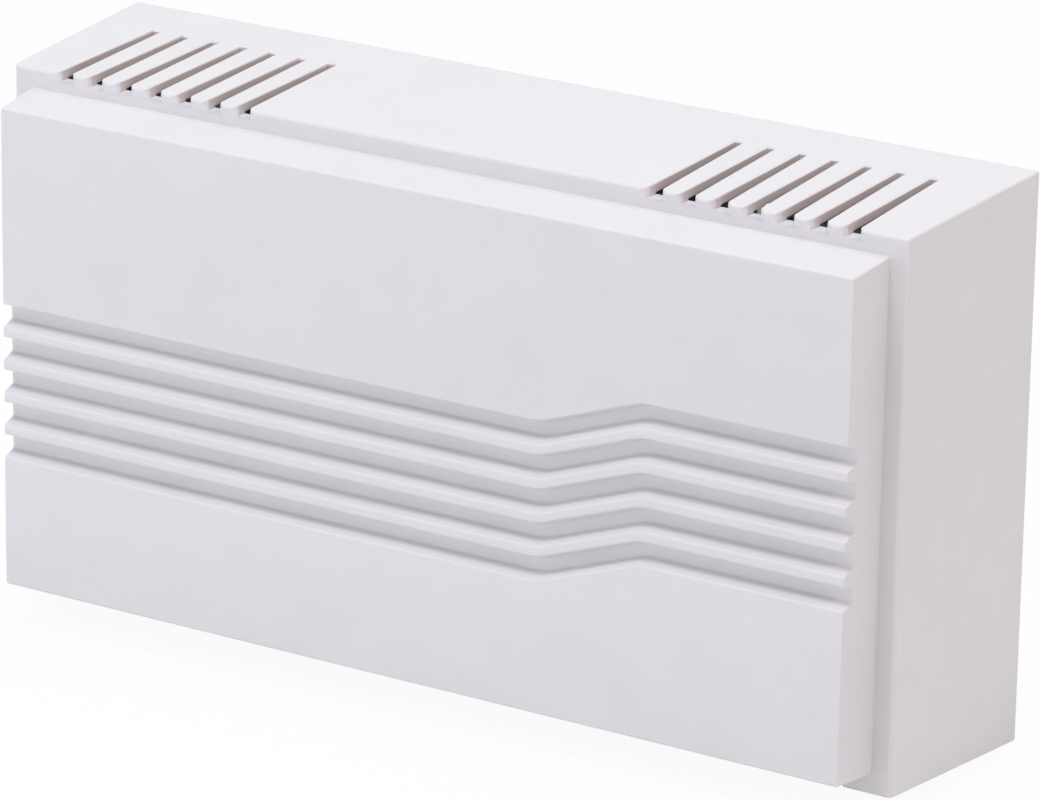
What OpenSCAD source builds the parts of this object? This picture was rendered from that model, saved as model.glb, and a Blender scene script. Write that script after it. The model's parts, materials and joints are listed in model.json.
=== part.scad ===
// Wired two-note door chime in a moulded box that hangs on a wall.
// Millimetres. The wall is the plane y = 0, the front faces -Y and +Z is up.
// Depths are distances from the wall, so a depth d lies at y = -d.

/* [Cover] */
// Width of the cover at its rear rim
cover_w = 200; // [190:1:220]
// Height of the cover at its rear rim
cover_h = 111; // [107:1:130]
// Depth from the wall to the shoulder round the panel
casing_d = 44.3; // [42:0.1:56]
// Lean of each casing side between rim and shoulder
casing_draft = 2.5; // [0.5:0.1:3]
// Height of the front panel above the shoulder
panel_rise = 11.1; // [9:0.1:16]
// Width of the shoulder round the foot of the panel
panel_ledge = 4; // [3:0.1:8]
// Lean of each panel side
panel_draft = 0.9; // [0.2:0.1:2]
// Thickness of the moulded walls
cover_wall = 2; // [1.6:0.1:3]
// Radius of the outer front edges
cover_edge_r = 0.8; // [0.3:0.1:1.5]
// Gap between the rear rim and the wall
rim_gap = 0.4; // [0.2:0.1:1]
// Thickness of the ribs that stop the cover on the base
stop_rib_t = 2; // [1.5:0.1:4]
// Reach of the stop ribs from the side walls
stop_rib_w = 6; // [5:0.1:10]
// Height of the stop ribs above and below the middle
stop_rib_z = 38; // [34:1:42]

/* [Grooves] */
// Number of grooves across the panel
groove_count = 5; // [1:1:7]
// Height of a groove
groove_w = 4.65; // [3:0.05:6]
// Height of the ridge between two grooves
ridge_w = 2; // [1.2:0.1:3]
// Depth of a groove
groove_d = 3.1; // [1:0.1:4]
// Thickness of the wall behind a groove
groove_floor = 1.8; // [1.2:0.1:3]
// Height of the middle groove on the left, from the middle of the cover
groove_z = -6.5; // [-12:0.1:4]
// Rise of the grooves from left to right
groove_rise = 7.5; // [2:0.1:12]
// Left foot of the slope, from the middle of the cover
slope_x = 28.8; // [0:0.1:40]
// Length of the slope along the width
slope_l = 21.6; // [16:0.1:34]
// Radius of the bends in the grooves
bend_r = 12; // [4:1:20]

/* [Vents] */
// Slots in each group
vent_count = 7; // [3:1:8]
// Distance between neighbouring slots
vent_pitch = 6.8; // [5:0.1:7]
// Distance from the middle of the cover to the middle of a group
vent_x = 65.3; // [60:0.1:68]
// Width of a slot at the shoulder
vent_w = 2.6; // [1.5:0.1:3.5]
// Width of a slot at its rear end
vent_rear_w = 1.7; // [1:0.1:3]
// Depth at which a slot starts
vent_start = 14; // [10:0.5:25]

/* [Base plate] */
// Thickness of the base plate
base_t = 3; // [2:0.1:5]
// Gap between the base and the inside of the cover
cover_fit = 0.3; // [0.2:0.05:0.6]
// Radius of the corners of the base plate
base_corner_r = 3; // [1:0.5:8]
// Thickness of the rim of the base
base_rim_t = 1.8; // [1.2:0.1:3]
// Height of the rim of the base
base_rim_h = 5; // [3:0.5:7]
// Distance from the edge of the base to its rim
base_rim_in = 1.5; // [1:0.1:3]
// Width of a friction tab
tab_w = 14; // [8:1:20]
// Thickness of a friction tab
tab_t = 2; // [1.5:0.1:3]
// Height of a friction tab
tab_h = 12; // [8:0.5:20]
// Distance from the middle to a friction tab
tab_x = 30; // [20:1:34]
// Diameter of the screw bosses
boss_d = 7; // [6:0.1:8]
// Diameter of the hole for the bell wires
wire_hole_d = 12; // [8:0.5:13]
// Height of the wire hole from the middle
wire_hole_z = 27.5; // [26:0.5:28]
// Diameter of the entry of a keyhole
keyhole_d = 8.5; // [7:0.1:10]
// Width of the slot of a keyhole
keyhole_slot_w = 4.4; // [3.5:0.1:5]
// Rise from the entry of a keyhole to its seat
keyhole_rise = 8; // [6:0.5:10]
// Distance between the two keyholes
keyhole_spacing = 90; // [84:1:96]
// Height of the keyhole entries from the middle
keyhole_z = 30; // [27:0.5:33]

/* [Coils] */
// Depth of the plunger axes from the wall
axis_d = 24; // [22:0.5:26]
// Distance between the two plunger axes
coil_pitch = 25; // [23:0.5:27]
// Length of a bobbin
bobbin_l = 44; // [38:1:48]
// Width of the square bobbin flanges
flange_w = 20; // [18:0.5:21]
// Thickness of the bobbin flanges
flange_t = 1.6; // [1.6:0.1:2.5]
// Thickness of the bobbin tube
bobbin_tube_t = 1.2; // [0.8:0.1:2]
// Diameter of a winding
winding_d = 18.4; // [15:0.2:19]
// Thickness of the steel strip of a frame
frame_t = 1.6; // [1:0.1:2.5]
// Width of the steel strip of a frame
frame_w = 21; // [20.5:0.5:22.5]
// Size of the screw ears of a frame
ear_w = 8; // [7.5:0.1:9]
// Distance from the middle to the screw ears
ear_x = 14; // [13:0.5:15]
// Diameter of the holes in the frame cheeks
cheek_hole_d = 9.6; // [9.4:0.1:9.8]

/* [Plungers] */
// Diameter of a plunger core
core_d = 8.8; // [7:0.1:9]
// Radial clearance of the core in its bobbin
core_fit = 0.1; // [0.05:0.01:0.1]
// Length of a plunger core
core_l = 52; // [46:1:56]
// Distance from the middle of the coil to the middle of the resting core
core_rest = 9; // [7:0.5:12]
// Diameter of the strikers
striker_d = 5.6; // [4.6:0.1:6.5]
// Diameter of the spigots of the strikers in the core
spigot_d = 3; // [2:0.1:4]
// Length of the spigots of the strikers
spigot_l = 6; // [4:0.5:10]
// Throw of a plunger to the right
strike_travel = 8; // [5:0.5:10]
// Swing of the front plunger back to the left
back_travel = 6; // [4:0.5:8]
// Gap left between a striker and a bar at the end of its travel
strike_gap = 0.3; // [0.2:0.05:0.5]
// Thickness of the felt return pad
pad_t = 2; // [1.5:0.1:2.5]
// Width of the felt return pad
pad_w = 9; // [7:0.5:10]
// Gap between the resting rear striker and its pad
pad_gap = 0.2; // [0.1:0.05:0.4]
// Thickness of the post behind the pad
pad_post_t = 2; // [1.5:0.1:2.5]

/* [Return springs] */
// Length of a return spring at rest
spring_l = 24; // [20:0.5:26]
// Mean diameter of a return spring
spring_d = 10.8; // [10.6:0.1:11.4]
// Diameter of the spring wire
spring_wire_d = 0.8; // [0.6:0.1:1]
// Number of curls in a return spring
spring_curls = 8; // [5:1:10]
// Gap between a spring end and its seat
spring_seat_gap = 0.05; // [0.02:0.01:0.1]
// Diameter of the spring collar
collar_d = 13; // [12.8:0.1:14]
// Thickness of the spring collar
collar_t = 2; // [1.5:0.1:3]
// Diameter of the spring clip
clip_d = 8.4; // [7.5:0.1:10]
// Thickness of the spring clip
clip_t = 0.8; // [0.5:0.1:1]
// Diameter of the groove for the spring clip
clip_groove_d = 4.2; // [3.6:0.1:4.4]

/* [Tone bars] */
// Distance from the middle to the struck face of a bar
bar_x = 64.5; // [62:0.5:68]
// Thickness of a bar
bar_t = 3; // [2:0.1:4]
// Width of a bar
bar_w = 24; // [20:1:26]
// Length of the low bar
low_bar_l = 94; // [86:1:96]
// Length of the high bar
high_bar_l = 84; // [80:1:92]
// Diameter of a grommet
grommet_d = 12; // [10:0.5:12]
// Diameter of the neck of a grommet
grommet_neck_d = 8; // [6.5:0.1:8.5]
// Thickness of a grommet flange
grommet_flange_t = 2; // [1.5:0.1:3]
// Diameter of the bore of a grommet
grommet_bore_d = 4; // [3.8:0.1:5]
// Width of the square bar posts
post_w = 10; // [8.5:0.5:11]
// Thickness of the bar posts
post_t = 9; // [8:0.5:12]
// Diameter of the heads of the bar screws
bar_screw_head_d = 7; // [6:0.5:8]
// Height of the heads of the bar screws
bar_screw_head_h = 2.4; // [1.8:0.1:3]
// Thickness of a post beyond the end of its bar screw
thread_end_t = 1; // [0.5:0.1:2]

/* [Terminals] */
// Width of a terminal bay
bay_w = 11; // [10:0.5:12]
// Thickness of the barriers between the bays
barrier_t = 2; // [1.5:0.1:3]
// Height of the barriers
barrier_h = 5; // [3:0.5:7]
// Height of the terminal block up the wall
block_h = 13; // [12:0.5:14]
// Thickness of the terminal block
block_t = 6; // [5:0.5:7]
// Length of the fixing lugs of the block
lug_l = 8; // [7:0.5:10]
// Thickness of the fixing lugs
lug_t = 3; // [2:0.5:4]
// Height of the bosses under the block
block_boss_h = 5; // [4.5:0.5:6]
// Gap from the top of the base to the block
block_top_gap = 5.5; // [4:0.5:6]
// Thickness of the brass terminal plates
plate_t = 1; // [0.6:0.1:1.4]
// Width of a solder tag
tag_w = 3; // [2:0.1:4]
// Length of a solder tag
tag_l = 4; // [3.5:0.1:4.5]
// Gap between a solder tag and the nearest screw head of a coil frame
tag_gap = 0.5; // [0.3:0.05:2]
// Width of a clamp washer
clamp_w = 9; // [7.5:0.5:9.5]
// Thickness of a clamp washer
clamp_t = 1.2; // [0.8:0.1:2]
// Diameter of a terminal screw
terminal_screw_d = 3.5; // [3:0.1:4]
// Length of the shank of a terminal screw
terminal_screw_l = 7; // [5:0.5:7]
// Diameter of the head of a terminal screw
terminal_head_d = 7; // [6:0.5:8]
// Height of the head of a terminal screw
terminal_head_h = 2.6; // [2:0.1:3]

/* [Fixing screws] */
// Diameter of the fixing screws
screw_d = 3; // [2.5:0.1:3.5]
// Length of the fixing screws
screw_l = 8; // [6:0.5:8]
// Diameter of the heads of the fixing screws
screw_head_d = 6; // [5.5:0.1:7]
// Height of the heads of the fixing screws
screw_head_h = 2.2; // [1.6:0.1:2.6]
// Clearance between pieces that turn or seat in each other
seat_fit = 0.05; // [0.03:0.01:0.1]

/* [Leads] */
// Diameter of the insulated leads
lead_d = 1.2; // [1:0.1:1.4]
// Gap between a lead and the prongs of its clips
lead_fit = 0.15; // [0.1:0.05:0.3]

/* [Hidden] */
$fn = 64;
ARC_STEPS = 6;
SPRING_RINGS = 8;
SPRING_SIDES = 6;
LEAD_SIDES = 8;
LEAD_STEPS = 2;
// Overlap that makes cuts pass right through a wall
over = 1;

// Casing and panel
panel_front_d = casing_d + panel_rise;
shoulder_w = cover_w - 2 * casing_draft;
shoulder_h = cover_h - 2 * casing_draft;
panel_foot_w = shoulder_w - 2 * panel_ledge;
panel_foot_h = shoulder_h - 2 * panel_ledge;
casing_slope = casing_draft / (casing_d - rim_gap);
panel_slope = panel_draft / panel_rise;
groove_pitch = groove_w + ridge_w;
groove_band_h = groove_count * groove_pitch - ridge_w + 2 * cover_wall;
vent_bottom = shoulder_h / 2 - cover_wall;

// Base plate
base_w = inside_size(cover_w, base_t) - 2 * cover_fit;
base_h = inside_size(cover_h, base_t) - 2 * cover_fit;
rim_front_d = base_t + base_rim_h;
tab_front_d = base_t + tab_h;

// Coils and plungers, measured along X from the middle
cheek_in_x = bobbin_l / 2;
cheek_out_x = cheek_in_x + frame_t;
bobbin_bore_d = core_d + 2 * core_fit;
bobbin_tube_d = bobbin_bore_d + 2 * bobbin_tube_t;
frame_seat_d = axis_d - flange_w / 2 - frame_t;
ear_z = frame_w / 2 + ear_w / 2;
core_left_x = -core_rest - core_l / 2;
core_right_x = -core_rest + core_l / 2;
tip_right_x = bar_x - strike_gap - strike_travel;
tip_left_x = -bar_x + strike_gap + back_travel;
collar_x = -cheek_out_x - spring_l;
clip_x = collar_x - collar_t;
pad_x = tip_left_x - pad_gap;

// Tone bars hang at the two points where a ringing bar stands still, at this share of their length
NODE_SHARE = 0.224;
low_node_z = low_bar_l / 2 - NODE_SHARE * low_bar_l;
high_node_z = high_bar_l / 2 - NODE_SHARE * high_bar_l;
bar_back_x = bar_x + bar_t;
post_x = bar_back_x + grommet_flange_t;
bar_head_x = bar_x - grommet_flange_t;
bar_thread_l = post_t - thread_end_t;

// Terminals, from the wall outwards
block_z = base_h / 2 - block_top_gap - block_h / 2;
block_back_d = base_t + block_boss_h;
block_front_d = block_back_d + block_t;
plate_front_d = block_front_d + plate_t;
clamp_front_d = plate_front_d + seat_fit + clamp_t;
bay_pitch = bay_w + barrier_t;
BAYS = [-1, 0, 1];
block_w = len(BAYS) * bay_pitch + barrier_t;
lug_x = block_w / 2 + lug_l / 2;
tag_z = block_z - block_h / 2 - tag_l / 2;

// The coils sit in the middle, or lower where the solder tags need the room
coil_z = min(0, tag_z - tag_l / 2 - tag_gap - screw_head_d / 2 - ear_z - coil_pitch / 2);

// Routes of the leads from coil to solder tag, chosen points seen from the middle of the coils
FRONT_LEAD = [[-21.2, -18, 22.5], [-21.2, -18, 24.5], [-20.6, -15.5, 28], [-18.4, -11, 31], [-15, -9, 32.4],
    [-13, -10.6, 32.2], [-13, -12.4, 32.2], [-13, -14, 32.2]];
COMMON_LEAD = [[21.2, -18, 22.5], [21.2, -18, 24.5], [20.4, -14, 29], [19.2, -9, 31], [16.5, -6.3, 32.3],
    [12, -5.6, 32.8], [6, -5.8, 33], [1.8, -7.2, 32.8], [0, -10, 32.2], [0, -12.4, 32.2], [0, -14, 32.2]];
REAR_LEAD = [[21.2, -18, -22.5], [21.2, -18, -24.5], [23.5, -15.5, -28], [28, -9.5, -28.5], [31.8, -5.5, -24],
    [32.5, -5, -12], [32.5, -5, 4], [32, -5, 18], [29.5, -6, 26], [24.5, -8, 31], [18.5, -9.6, 33.2],
    [14.6, -9.6, 33], [13, -10.8, 32.2], [13, -12.4, 32.2], [13, -14, 32.2]];
COIL_JUMPER = [[21.2, -18, -2.5], [21.2, -18, -1.5], [21.2, -18.4, 0], [21.2, -18, 1.5], [21.2, -18, 2.5]];
LEAD_CLIPS = [[32.5, -8], [32.5, 2]];
lead_clip_t = 1.4;
lead_clip_l = 4;
lead_clip_d = 6.4;

FRONT_DOOR = 1;
REAR_DOOR = -1;
LEFT = -1;
RIGHT = 1;

function unit(v) = v / norm(v);

// Full size of the outside of the casing at a depth
function outside_size(size, depth) = size - 2 * casing_slope * (depth - rim_gap);

// Full size of the inside of the casing at a depth
function inside_size(size, depth) = outside_size(size, depth) - 2 * cover_wall;

// Full size of the outside of the panel at a depth
function panel_size(foot, depth) = foot - 2 * panel_slope * (depth - casing_d);

// Points that round the corner b between a and c
function corner(a, b, c, r) =
    let (u = unit(a - b), v = unit(c - b), half = acos(u * v) / 2)
    let (centre = b + unit(u + v) * r / sin(half), reach = r / tan(half))
    let (from = b + u * reach - centre, to = b + v * reach - centre)
    let (start = atan2(from.y, from.x), turn = atan2(to.y, to.x) - start)
    let (sweep = turn > 180 ? turn - 360 : turn < -180 ? turn + 360 : turn)
    [for (i = [0:ARC_STEPS]) let (a = start + sweep * i / ARC_STEPS) centre + r * [cos(a), sin(a)]];

// Outline of a rectangle with round corners
function round_rect(w, h, r) =
    let (p = [[-w / 2, -h / 2], [w / 2, -h / 2], [w / 2, h / 2], [-w / 2, h / 2]])
    [for (i = [0:3]) each corner(p[(i + 3) % 4], p[i], p[(i + 1) % 4], r)];

// Side view of a leaning block, as points of depth and height, with round front corners
function taper(rear_d, rear_size, front_d, front_size, r) =
    let (a = [-rear_d, rear_size / 2], b = [-front_d, front_size / 2])
    let (c = [b.x, -b.y], d = [a.x, -a.y])
    concat([a], corner(a, b, c, r), corner(b, c, d, r), [d]);

function flipped(points) = [for (p = points) [p.y, p.x]];

// Centre line of a groove, from left to right across the panel
function groove_line() =
    let (a = [-cover_w / 2, 0], b = [slope_x, 0])
    let (c = [slope_x + slope_l, groove_rise], d = [cover_w / 2, groove_rise])
    concat([a], corner(a, b, c, bend_r), corner(b, c, d, bend_r), [d]);

// Outline of a band of a height that follows the grooves
function groove_band(height) =
    let (line = groove_line(), up = [0, height / 2], last = len(line) - 1)
    concat([for (p = line) p + up], [for (i = [last:-1:0]) line[i] - up]);

// Points between those of a route, on a smooth curve through them, with straight first and last stretches
function smooth(route) =
    let (last = len(route) - 1)
    concat([route[0]], [for (i = [1:last - 2], k = [0:LEAD_STEPS - 1])
        let (p = route[i - 1], q = route[i], r = route[i + 1], s = route[i + 2], t = k / LEAD_STEPS)
        q + 0.5 * t * (r - p + t * (2 * p - 5 * q + 4 * r - s + t * (3 * (q - r) + s - p)))],
        [route[last - 1], route[last]]);

// Centre line of a spring about the plunger axis, with straight ends square to its seats
function spring_line() =
    let (from = -cheek_out_x - spring_seat_gap, to = collar_x + spring_seat_gap)
    let (first = from - spring_wire_d, last = to + spring_wire_d, n = spring_curls * SPRING_RINGS)
    concat([[from, 0, spring_d / 2]],
        [for (i = [0:n]) let (a = 360 * i / SPRING_RINGS)
            [first + (last - first) * i / n, spring_d / 2 * sin(a), spring_d / 2 * cos(a)]],
        [[to, 0, spring_d / 2]]);

// Least gap between a tube's neighbouring turns, measured between points half a turn or more apart
function least_gap(line, d) =
    let (skip = SPRING_RINGS / 2 + 1, last = len(line) - 1)
    min([for (i = [0:last - skip], j = [i + skip:last]) norm(line[i] - line[j])]) - d;

// Normals carried along a line of directions without twisting
function carried(directions, normal, i = 0) =
    i == len(directions) ? [] :
    let (n = unit(normal - (normal * directions[i]) * directions[i]))
    concat([n], carried(directions, n, i + 1));

// Round tube along a line of points
module tube(line, d, sides) {
    last = len(line) - 1;
    along = [for (i = [0:last]) unit(line[min(i + 1, last)] - line[max(i - 1, 0)])];
    normals = carried(along, abs(along[0].z) < 0.9 ? [0, 0, 1] : [1, 0, 0]);
    points = [for (i = [0:last], k = [0:sides - 1]) let (a = 360 * k / sides)
        line[i] + d / 2 * (cos(a) * normals[i] + sin(a) * cross(along[i], normals[i]))];
    walls = [for (i = [0:last - 1], k = [0:sides - 1])
        let (a = i * sides + k, b = i * sides + (k + 1) % sides)
        each [[a, a + sides, b + sides], [a, b + sides, b]]];
    end = last * sides;
    caps = [for (k = [1:sides - 2]) each [[0, k, k + 1], [end, end + k + 1, end + k]]];
    polyhedron(points, concat(walls, caps));
}

// Outline in x and z, drawn from one depth to a larger one
module from_wall(near_d, far_d)
    translate([0, -near_d, 0]) rotate([90, 0, 0]) linear_extrude(far_d - near_d) children();

// Outline in depth and height, drawn across a width
module across(x, w) translate([x - w / 2, 0, 0]) rotate([90, 0, 90]) linear_extrude(w) children();

// Round bar along X
module rod(x0, x1, d) translate([x0, 0, 0]) rotate([0, 90, 0]) cylinder(h = x1 - x0, d = d);

// Round bar out from the wall
module peg(near_d, far_d, d)
    translate([0, -near_d, 0]) rotate([90, 0, 0]) cylinder(h = far_d - near_d, d = d);

// Block from one depth to a larger one, centred on x = z = 0
module block(near_d, far_d, w, h) translate([-w / 2, -far_d, -h / 2]) cube([w, far_d - near_d, h]);

// Block whose sides lean in both ways
module leaning_block(rear_d, rear_w, rear_h, front_d, front_w, front_h, r) {
    intersection() {
        translate([0, 0, -rear_h]) linear_extrude(2 * rear_h)
            polygon(flipped(taper(rear_d, rear_w, front_d, front_w, r)));
        across(0, 2 * rear_w) polygon(taper(rear_d, rear_h, front_d, front_h, r));
    }
}

// Pan head screw with a crossed recess, head up from z = 0
module pan_screw(head_d, head_h, shank_d, shank_l) {
    recess_w = head_d / 7;
    recess_l = head_d * 0.6;
    recess_h = head_h / 2;
    difference() {
        cylinder(h = head_h, d = head_d);
        for (a = [0, 90]) rotate(a) translate([-recess_l / 2, -recess_w / 2, head_h - recess_h])
            cube([recess_l, recess_w, recess_h + over]);
    }
    translate([0, 0, -shank_l]) cylinder(h = shank_l, d = shank_d);
}

// Screw that faces the room, with its head on a seat at a depth
module facing_screw(depth, head_d, head_h, shank_d, shank_l)
    translate([0, -depth, 0]) rotate([90, 0, 0]) pan_screw(head_d, head_h, shank_d, shank_l);

module on_axis(door) translate([0, -axis_d, coil_z + door * coil_pitch / 2]) children();

module at_ears() for (door = [FRONT_DOOR, REAR_DOOR], x = [-ear_x, ear_x])
    translate([x, 0, coil_z + door * (coil_pitch / 2 + ear_z)]) children();

module at_lugs() for (x = [-lug_x, lug_x]) translate([x, 0, block_z]) children();

module at_bar_nodes(node_z) for (z = [-node_z, node_z]) translate([0, -axis_d, z]) children();

// Cover

module casing_outside()
    leaning_block(rim_gap, cover_w, cover_h, casing_d, shoulder_w, shoulder_h, cover_edge_r);

module casing_inside() {
    front_d = casing_d - cover_wall;
    leaning_block(rim_gap - over, inside_size(cover_w, rim_gap - over), inside_size(cover_h, rim_gap - over),
        front_d, inside_size(cover_w, front_d), inside_size(cover_h, front_d), cover_edge_r);
}

module panel_outside() {
    rear_d = casing_d - cover_wall / 2;
    leaning_block(rear_d, panel_size(panel_foot_w, rear_d), panel_size(panel_foot_h, rear_d), panel_front_d,
        panel_foot_w - 2 * panel_draft, panel_foot_h - 2 * panel_draft, cover_edge_r);
}

module panel_inside() {
    rear_d = casing_d - cover_wall - over;
    front_d = panel_front_d - cover_wall;
    leaning_block(rear_d, panel_size(panel_foot_w, rear_d) - 2 * cover_wall,
        panel_size(panel_foot_h, rear_d) - 2 * cover_wall, front_d,
        panel_size(panel_foot_w, front_d) - 2 * cover_wall, panel_size(panel_foot_h, front_d) - 2 * cover_wall,
        cover_edge_r);
}

module groove_backing()
    from_wall(panel_front_d - groove_d - groove_floor, panel_front_d)
        translate([0, groove_z]) polygon(groove_band(groove_band_h));

module grooves() for (i = [0:groove_count - 1])
    from_wall(panel_front_d - groove_d, panel_front_d + over)
        translate([0, groove_z + (i - (groove_count - 1) / 2) * groove_pitch]) polygon(groove_band(groove_w));

module vent_slot() translate([0, 0, vent_bottom]) linear_extrude(cover_h / 2)
    polygon([[-vent_w / 2, -casing_d - over], [vent_w / 2, -casing_d - over],
        [vent_rear_w / 2, -vent_start], [-vent_rear_w / 2, -vent_start]]);

module vents() for (side = [LEFT, RIGHT], i = [0:vent_count - 1], up = [0, 1])
    translate([side * vent_x + (i - (vent_count - 1) / 2) * vent_pitch, 0, 0]) mirror([0, 0, up]) vent_slot();

module stop_ribs() intersection() {
    casing_outside();
    for (side = [LEFT, RIGHT], z = [-stop_rib_z, stop_rib_z])
        translate([side * (inside_size(cover_w, casing_d) / 2 - stop_rib_w / 2 + cover_wall), 0, z])
            block(rim_front_d + seat_fit, casing_d - cover_wall / 2, stop_rib_w + 2 * cover_wall, stop_rib_t);
}

module cover() color("whitesmoke") {
    difference() {
        union() {
            casing_outside();
            panel_outside();
        }
        casing_inside();
        difference() {
            panel_inside();
            groove_backing();
        }
        grooves();
        vents();
    }
    stop_ribs();
}

// Base plate

module base_sheet() from_wall(0, base_t) polygon(round_rect(base_w, base_h, base_corner_r));

module base_rim() difference() {
    from_wall(base_t - over, rim_front_d)
        polygon(round_rect(base_w - 2 * base_rim_in, base_h - 2 * base_rim_in, base_corner_r));
    from_wall(base_t - 2 * over, rim_front_d + over)
        square([base_w - 2 * (base_rim_in + base_rim_t), base_h - 2 * (base_rim_in + base_rim_t)], center = true);
}

module friction_tabs() {
    root = inside_size(cover_h, base_t) / 2 - cover_fit;
    top = inside_size(cover_h, tab_front_d) / 2 - cover_fit;
    for (x = [-tab_x, tab_x], up = [0, 1])
        mirror([0, 0, up]) across(x, tab_w)
            polygon([[-base_t, root], [-tab_front_d, top], [-tab_front_d, top - tab_t], [-base_t, top - tab_t]]);
}

module bar_posts(side, node_z) for (z = [-node_z, node_z])
    translate([side * (post_x + post_t / 2), 0, z]) block(base_t - over, axis_d + post_w / 2, post_t, post_w);

module pad_post() translate([pad_x - pad_t - pad_post_t / 2, 0, coil_z - coil_pitch / 2])
    block(base_t - over, axis_d + pad_w / 2, pad_post_t, pad_w);

module lead_clips() for (place = LEAD_CLIPS, side = [LEFT, RIGHT])
    translate([place.x + side * (lead_d / 2 + lead_fit + lead_clip_t / 2), 0, coil_z + place.y])
        block(base_t - over, lead_clip_d, lead_clip_t, lead_clip_l);

module keyhole() {
    peg(-over, base_t + over, keyhole_d);
    translate([0, 0, keyhole_rise / 2]) block(-over, base_t + over, keyhole_slot_w, keyhole_rise);
    translate([0, 0, keyhole_rise]) peg(-over, base_t + over, keyhole_slot_w);
}

module base_holes() {
    translate([0, 0, wire_hole_z]) peg(-over, base_t + over, wire_hole_d);
    for (side = [LEFT, RIGHT]) translate([side * keyhole_spacing / 2, 0, keyhole_z]) keyhole();
    at_ears() peg(frame_seat_d + frame_t - screw_l, frame_seat_d + over, screw_d);
    at_lugs() peg(block_back_d + lug_t - screw_l, block_back_d + over, screw_d);
    at_bar_nodes(low_node_z) rod(-post_x - bar_thread_l, -post_x + over, screw_d);
    at_bar_nodes(high_node_z) rod(post_x - over, post_x + bar_thread_l, screw_d);
}

module base_plate() color("gainsboro") difference() {
    union() {
        base_sheet();
        base_rim();
        friction_tabs();
        at_ears() peg(base_t - over, frame_seat_d, boss_d);
        at_lugs() peg(base_t - over, block_back_d, boss_d);
        bar_posts(LEFT, low_node_z);
        bar_posts(RIGHT, high_node_z);
        pad_post();
        lead_clips();
    }
    base_holes();
}

// Terminals

module at_bay(bay) translate([bay * bay_pitch, 0, block_z]) children();

module terminal_block() color("dimgray") difference() {
    union() {
        translate([0, 0, block_z]) block(block_back_d, block_front_d, block_w, block_h);
        for (i = [0:len(BAYS)]) translate([(i - len(BAYS) / 2) * bay_pitch, 0, block_z])
            block(block_back_d, block_front_d + barrier_h, barrier_t, block_h);
        at_lugs() block(block_back_d, block_back_d + lug_t, lug_l, block_h);
    }
    for (bay = BAYS) at_bay(bay) peg(block_back_d - over, block_front_d + over, terminal_screw_d + 2 * seat_fit);
    at_lugs() peg(block_back_d - over, block_back_d + lug_t + over, screw_d + 2 * seat_fit);
}

module terminal_plates() color("goldenrod") for (bay = BAYS) at_bay(bay) difference() {
    union() {
        block(block_front_d, plate_front_d, bay_w - 2 * seat_fit, block_h);
        translate([0, 0, tag_z - block_z]) block(block_front_d, plate_front_d, tag_w, tag_l + over);
    }
    peg(block_front_d - over, plate_front_d + over, terminal_screw_d + 2 * seat_fit);
}

module clamp_washer(bay) color("silver") at_bay(bay) difference() {
    block(plate_front_d + seat_fit, clamp_front_d, clamp_w, clamp_w);
    peg(plate_front_d - over, clamp_front_d + over, terminal_screw_d + 2 * seat_fit);
}

module terminal_screw(bay) color("gold") at_bay(bay)
    facing_screw(clamp_front_d + seat_fit, terminal_head_d, terminal_head_h, terminal_screw_d, terminal_screw_l);

module terminal_block_screws() color("silver") at_lugs()
    facing_screw(block_back_d + lug_t, screw_head_d, screw_head_h, screw_d, screw_l);

// Solenoids

module coil_frame(door) color("lightsteelblue") on_axis(door) difference() {
    union() {
        translate([0, axis_d, 0]) block(frame_seat_d, frame_seat_d + frame_t, 2 * cheek_out_x, frame_w);
        for (side = [LEFT, RIGHT]) translate([side * (cheek_in_x + frame_t / 2), axis_d, 0])
            block(frame_seat_d, axis_d + flange_w / 2, frame_t, frame_w);
        for (x = [-ear_x, ear_x]) translate([x, axis_d, door * (ear_z - over / 2)])
            block(frame_seat_d, frame_seat_d + frame_t, ear_w, ear_w + over);
    }
    rod(-cheek_out_x - over, cheek_out_x + over, cheek_hole_d);
    for (x = [-ear_x, ear_x]) translate([x, axis_d, door * ear_z])
        peg(frame_seat_d - over, frame_seat_d + frame_t + over, screw_d + 2 * seat_fit);
}

module coil_bobbin(door) color("ivory") on_axis(door) difference() {
    union() {
        rod(-bobbin_l / 2, bobbin_l / 2, bobbin_tube_d);
        for (x = [-bobbin_l / 2, bobbin_l / 2 - flange_t])
            translate([x, -flange_w / 2, -flange_w / 2]) cube([flange_t, flange_w, flange_w]);
    }
    rod(-bobbin_l / 2 - over, bobbin_l / 2 + over, bobbin_bore_d);
}

module coil_winding(door) color("chocolate") on_axis(door) difference() {
    rod(-bobbin_l / 2 + flange_t, bobbin_l / 2 - flange_t, winding_d);
    rod(-bobbin_l / 2, bobbin_l / 2, bobbin_tube_d + 2 * seat_fit);
}

module coil_frame_screws() color("silver") at_ears()
    facing_screw(frame_seat_d + frame_t, screw_head_d, screw_head_h, screw_d, screw_l);

// Plungers

module plunger_core(door) color("slategray") on_axis(door) difference() {
    rod(core_left_x, core_right_x, core_d);
    rod(core_left_x - over, core_left_x + spigot_l, spigot_d + 2 * seat_fit);
    rod(core_right_x - spigot_l, core_right_x + over, spigot_d + 2 * seat_fit);
}

module striker_right(door) color("white") on_axis(door) {
    rod(core_right_x - spigot_l, core_right_x, spigot_d);
    rod(core_right_x, tip_right_x - striker_d / 2, striker_d);
    translate([tip_right_x - striker_d / 2, 0, 0]) sphere(d = striker_d);
}

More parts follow.
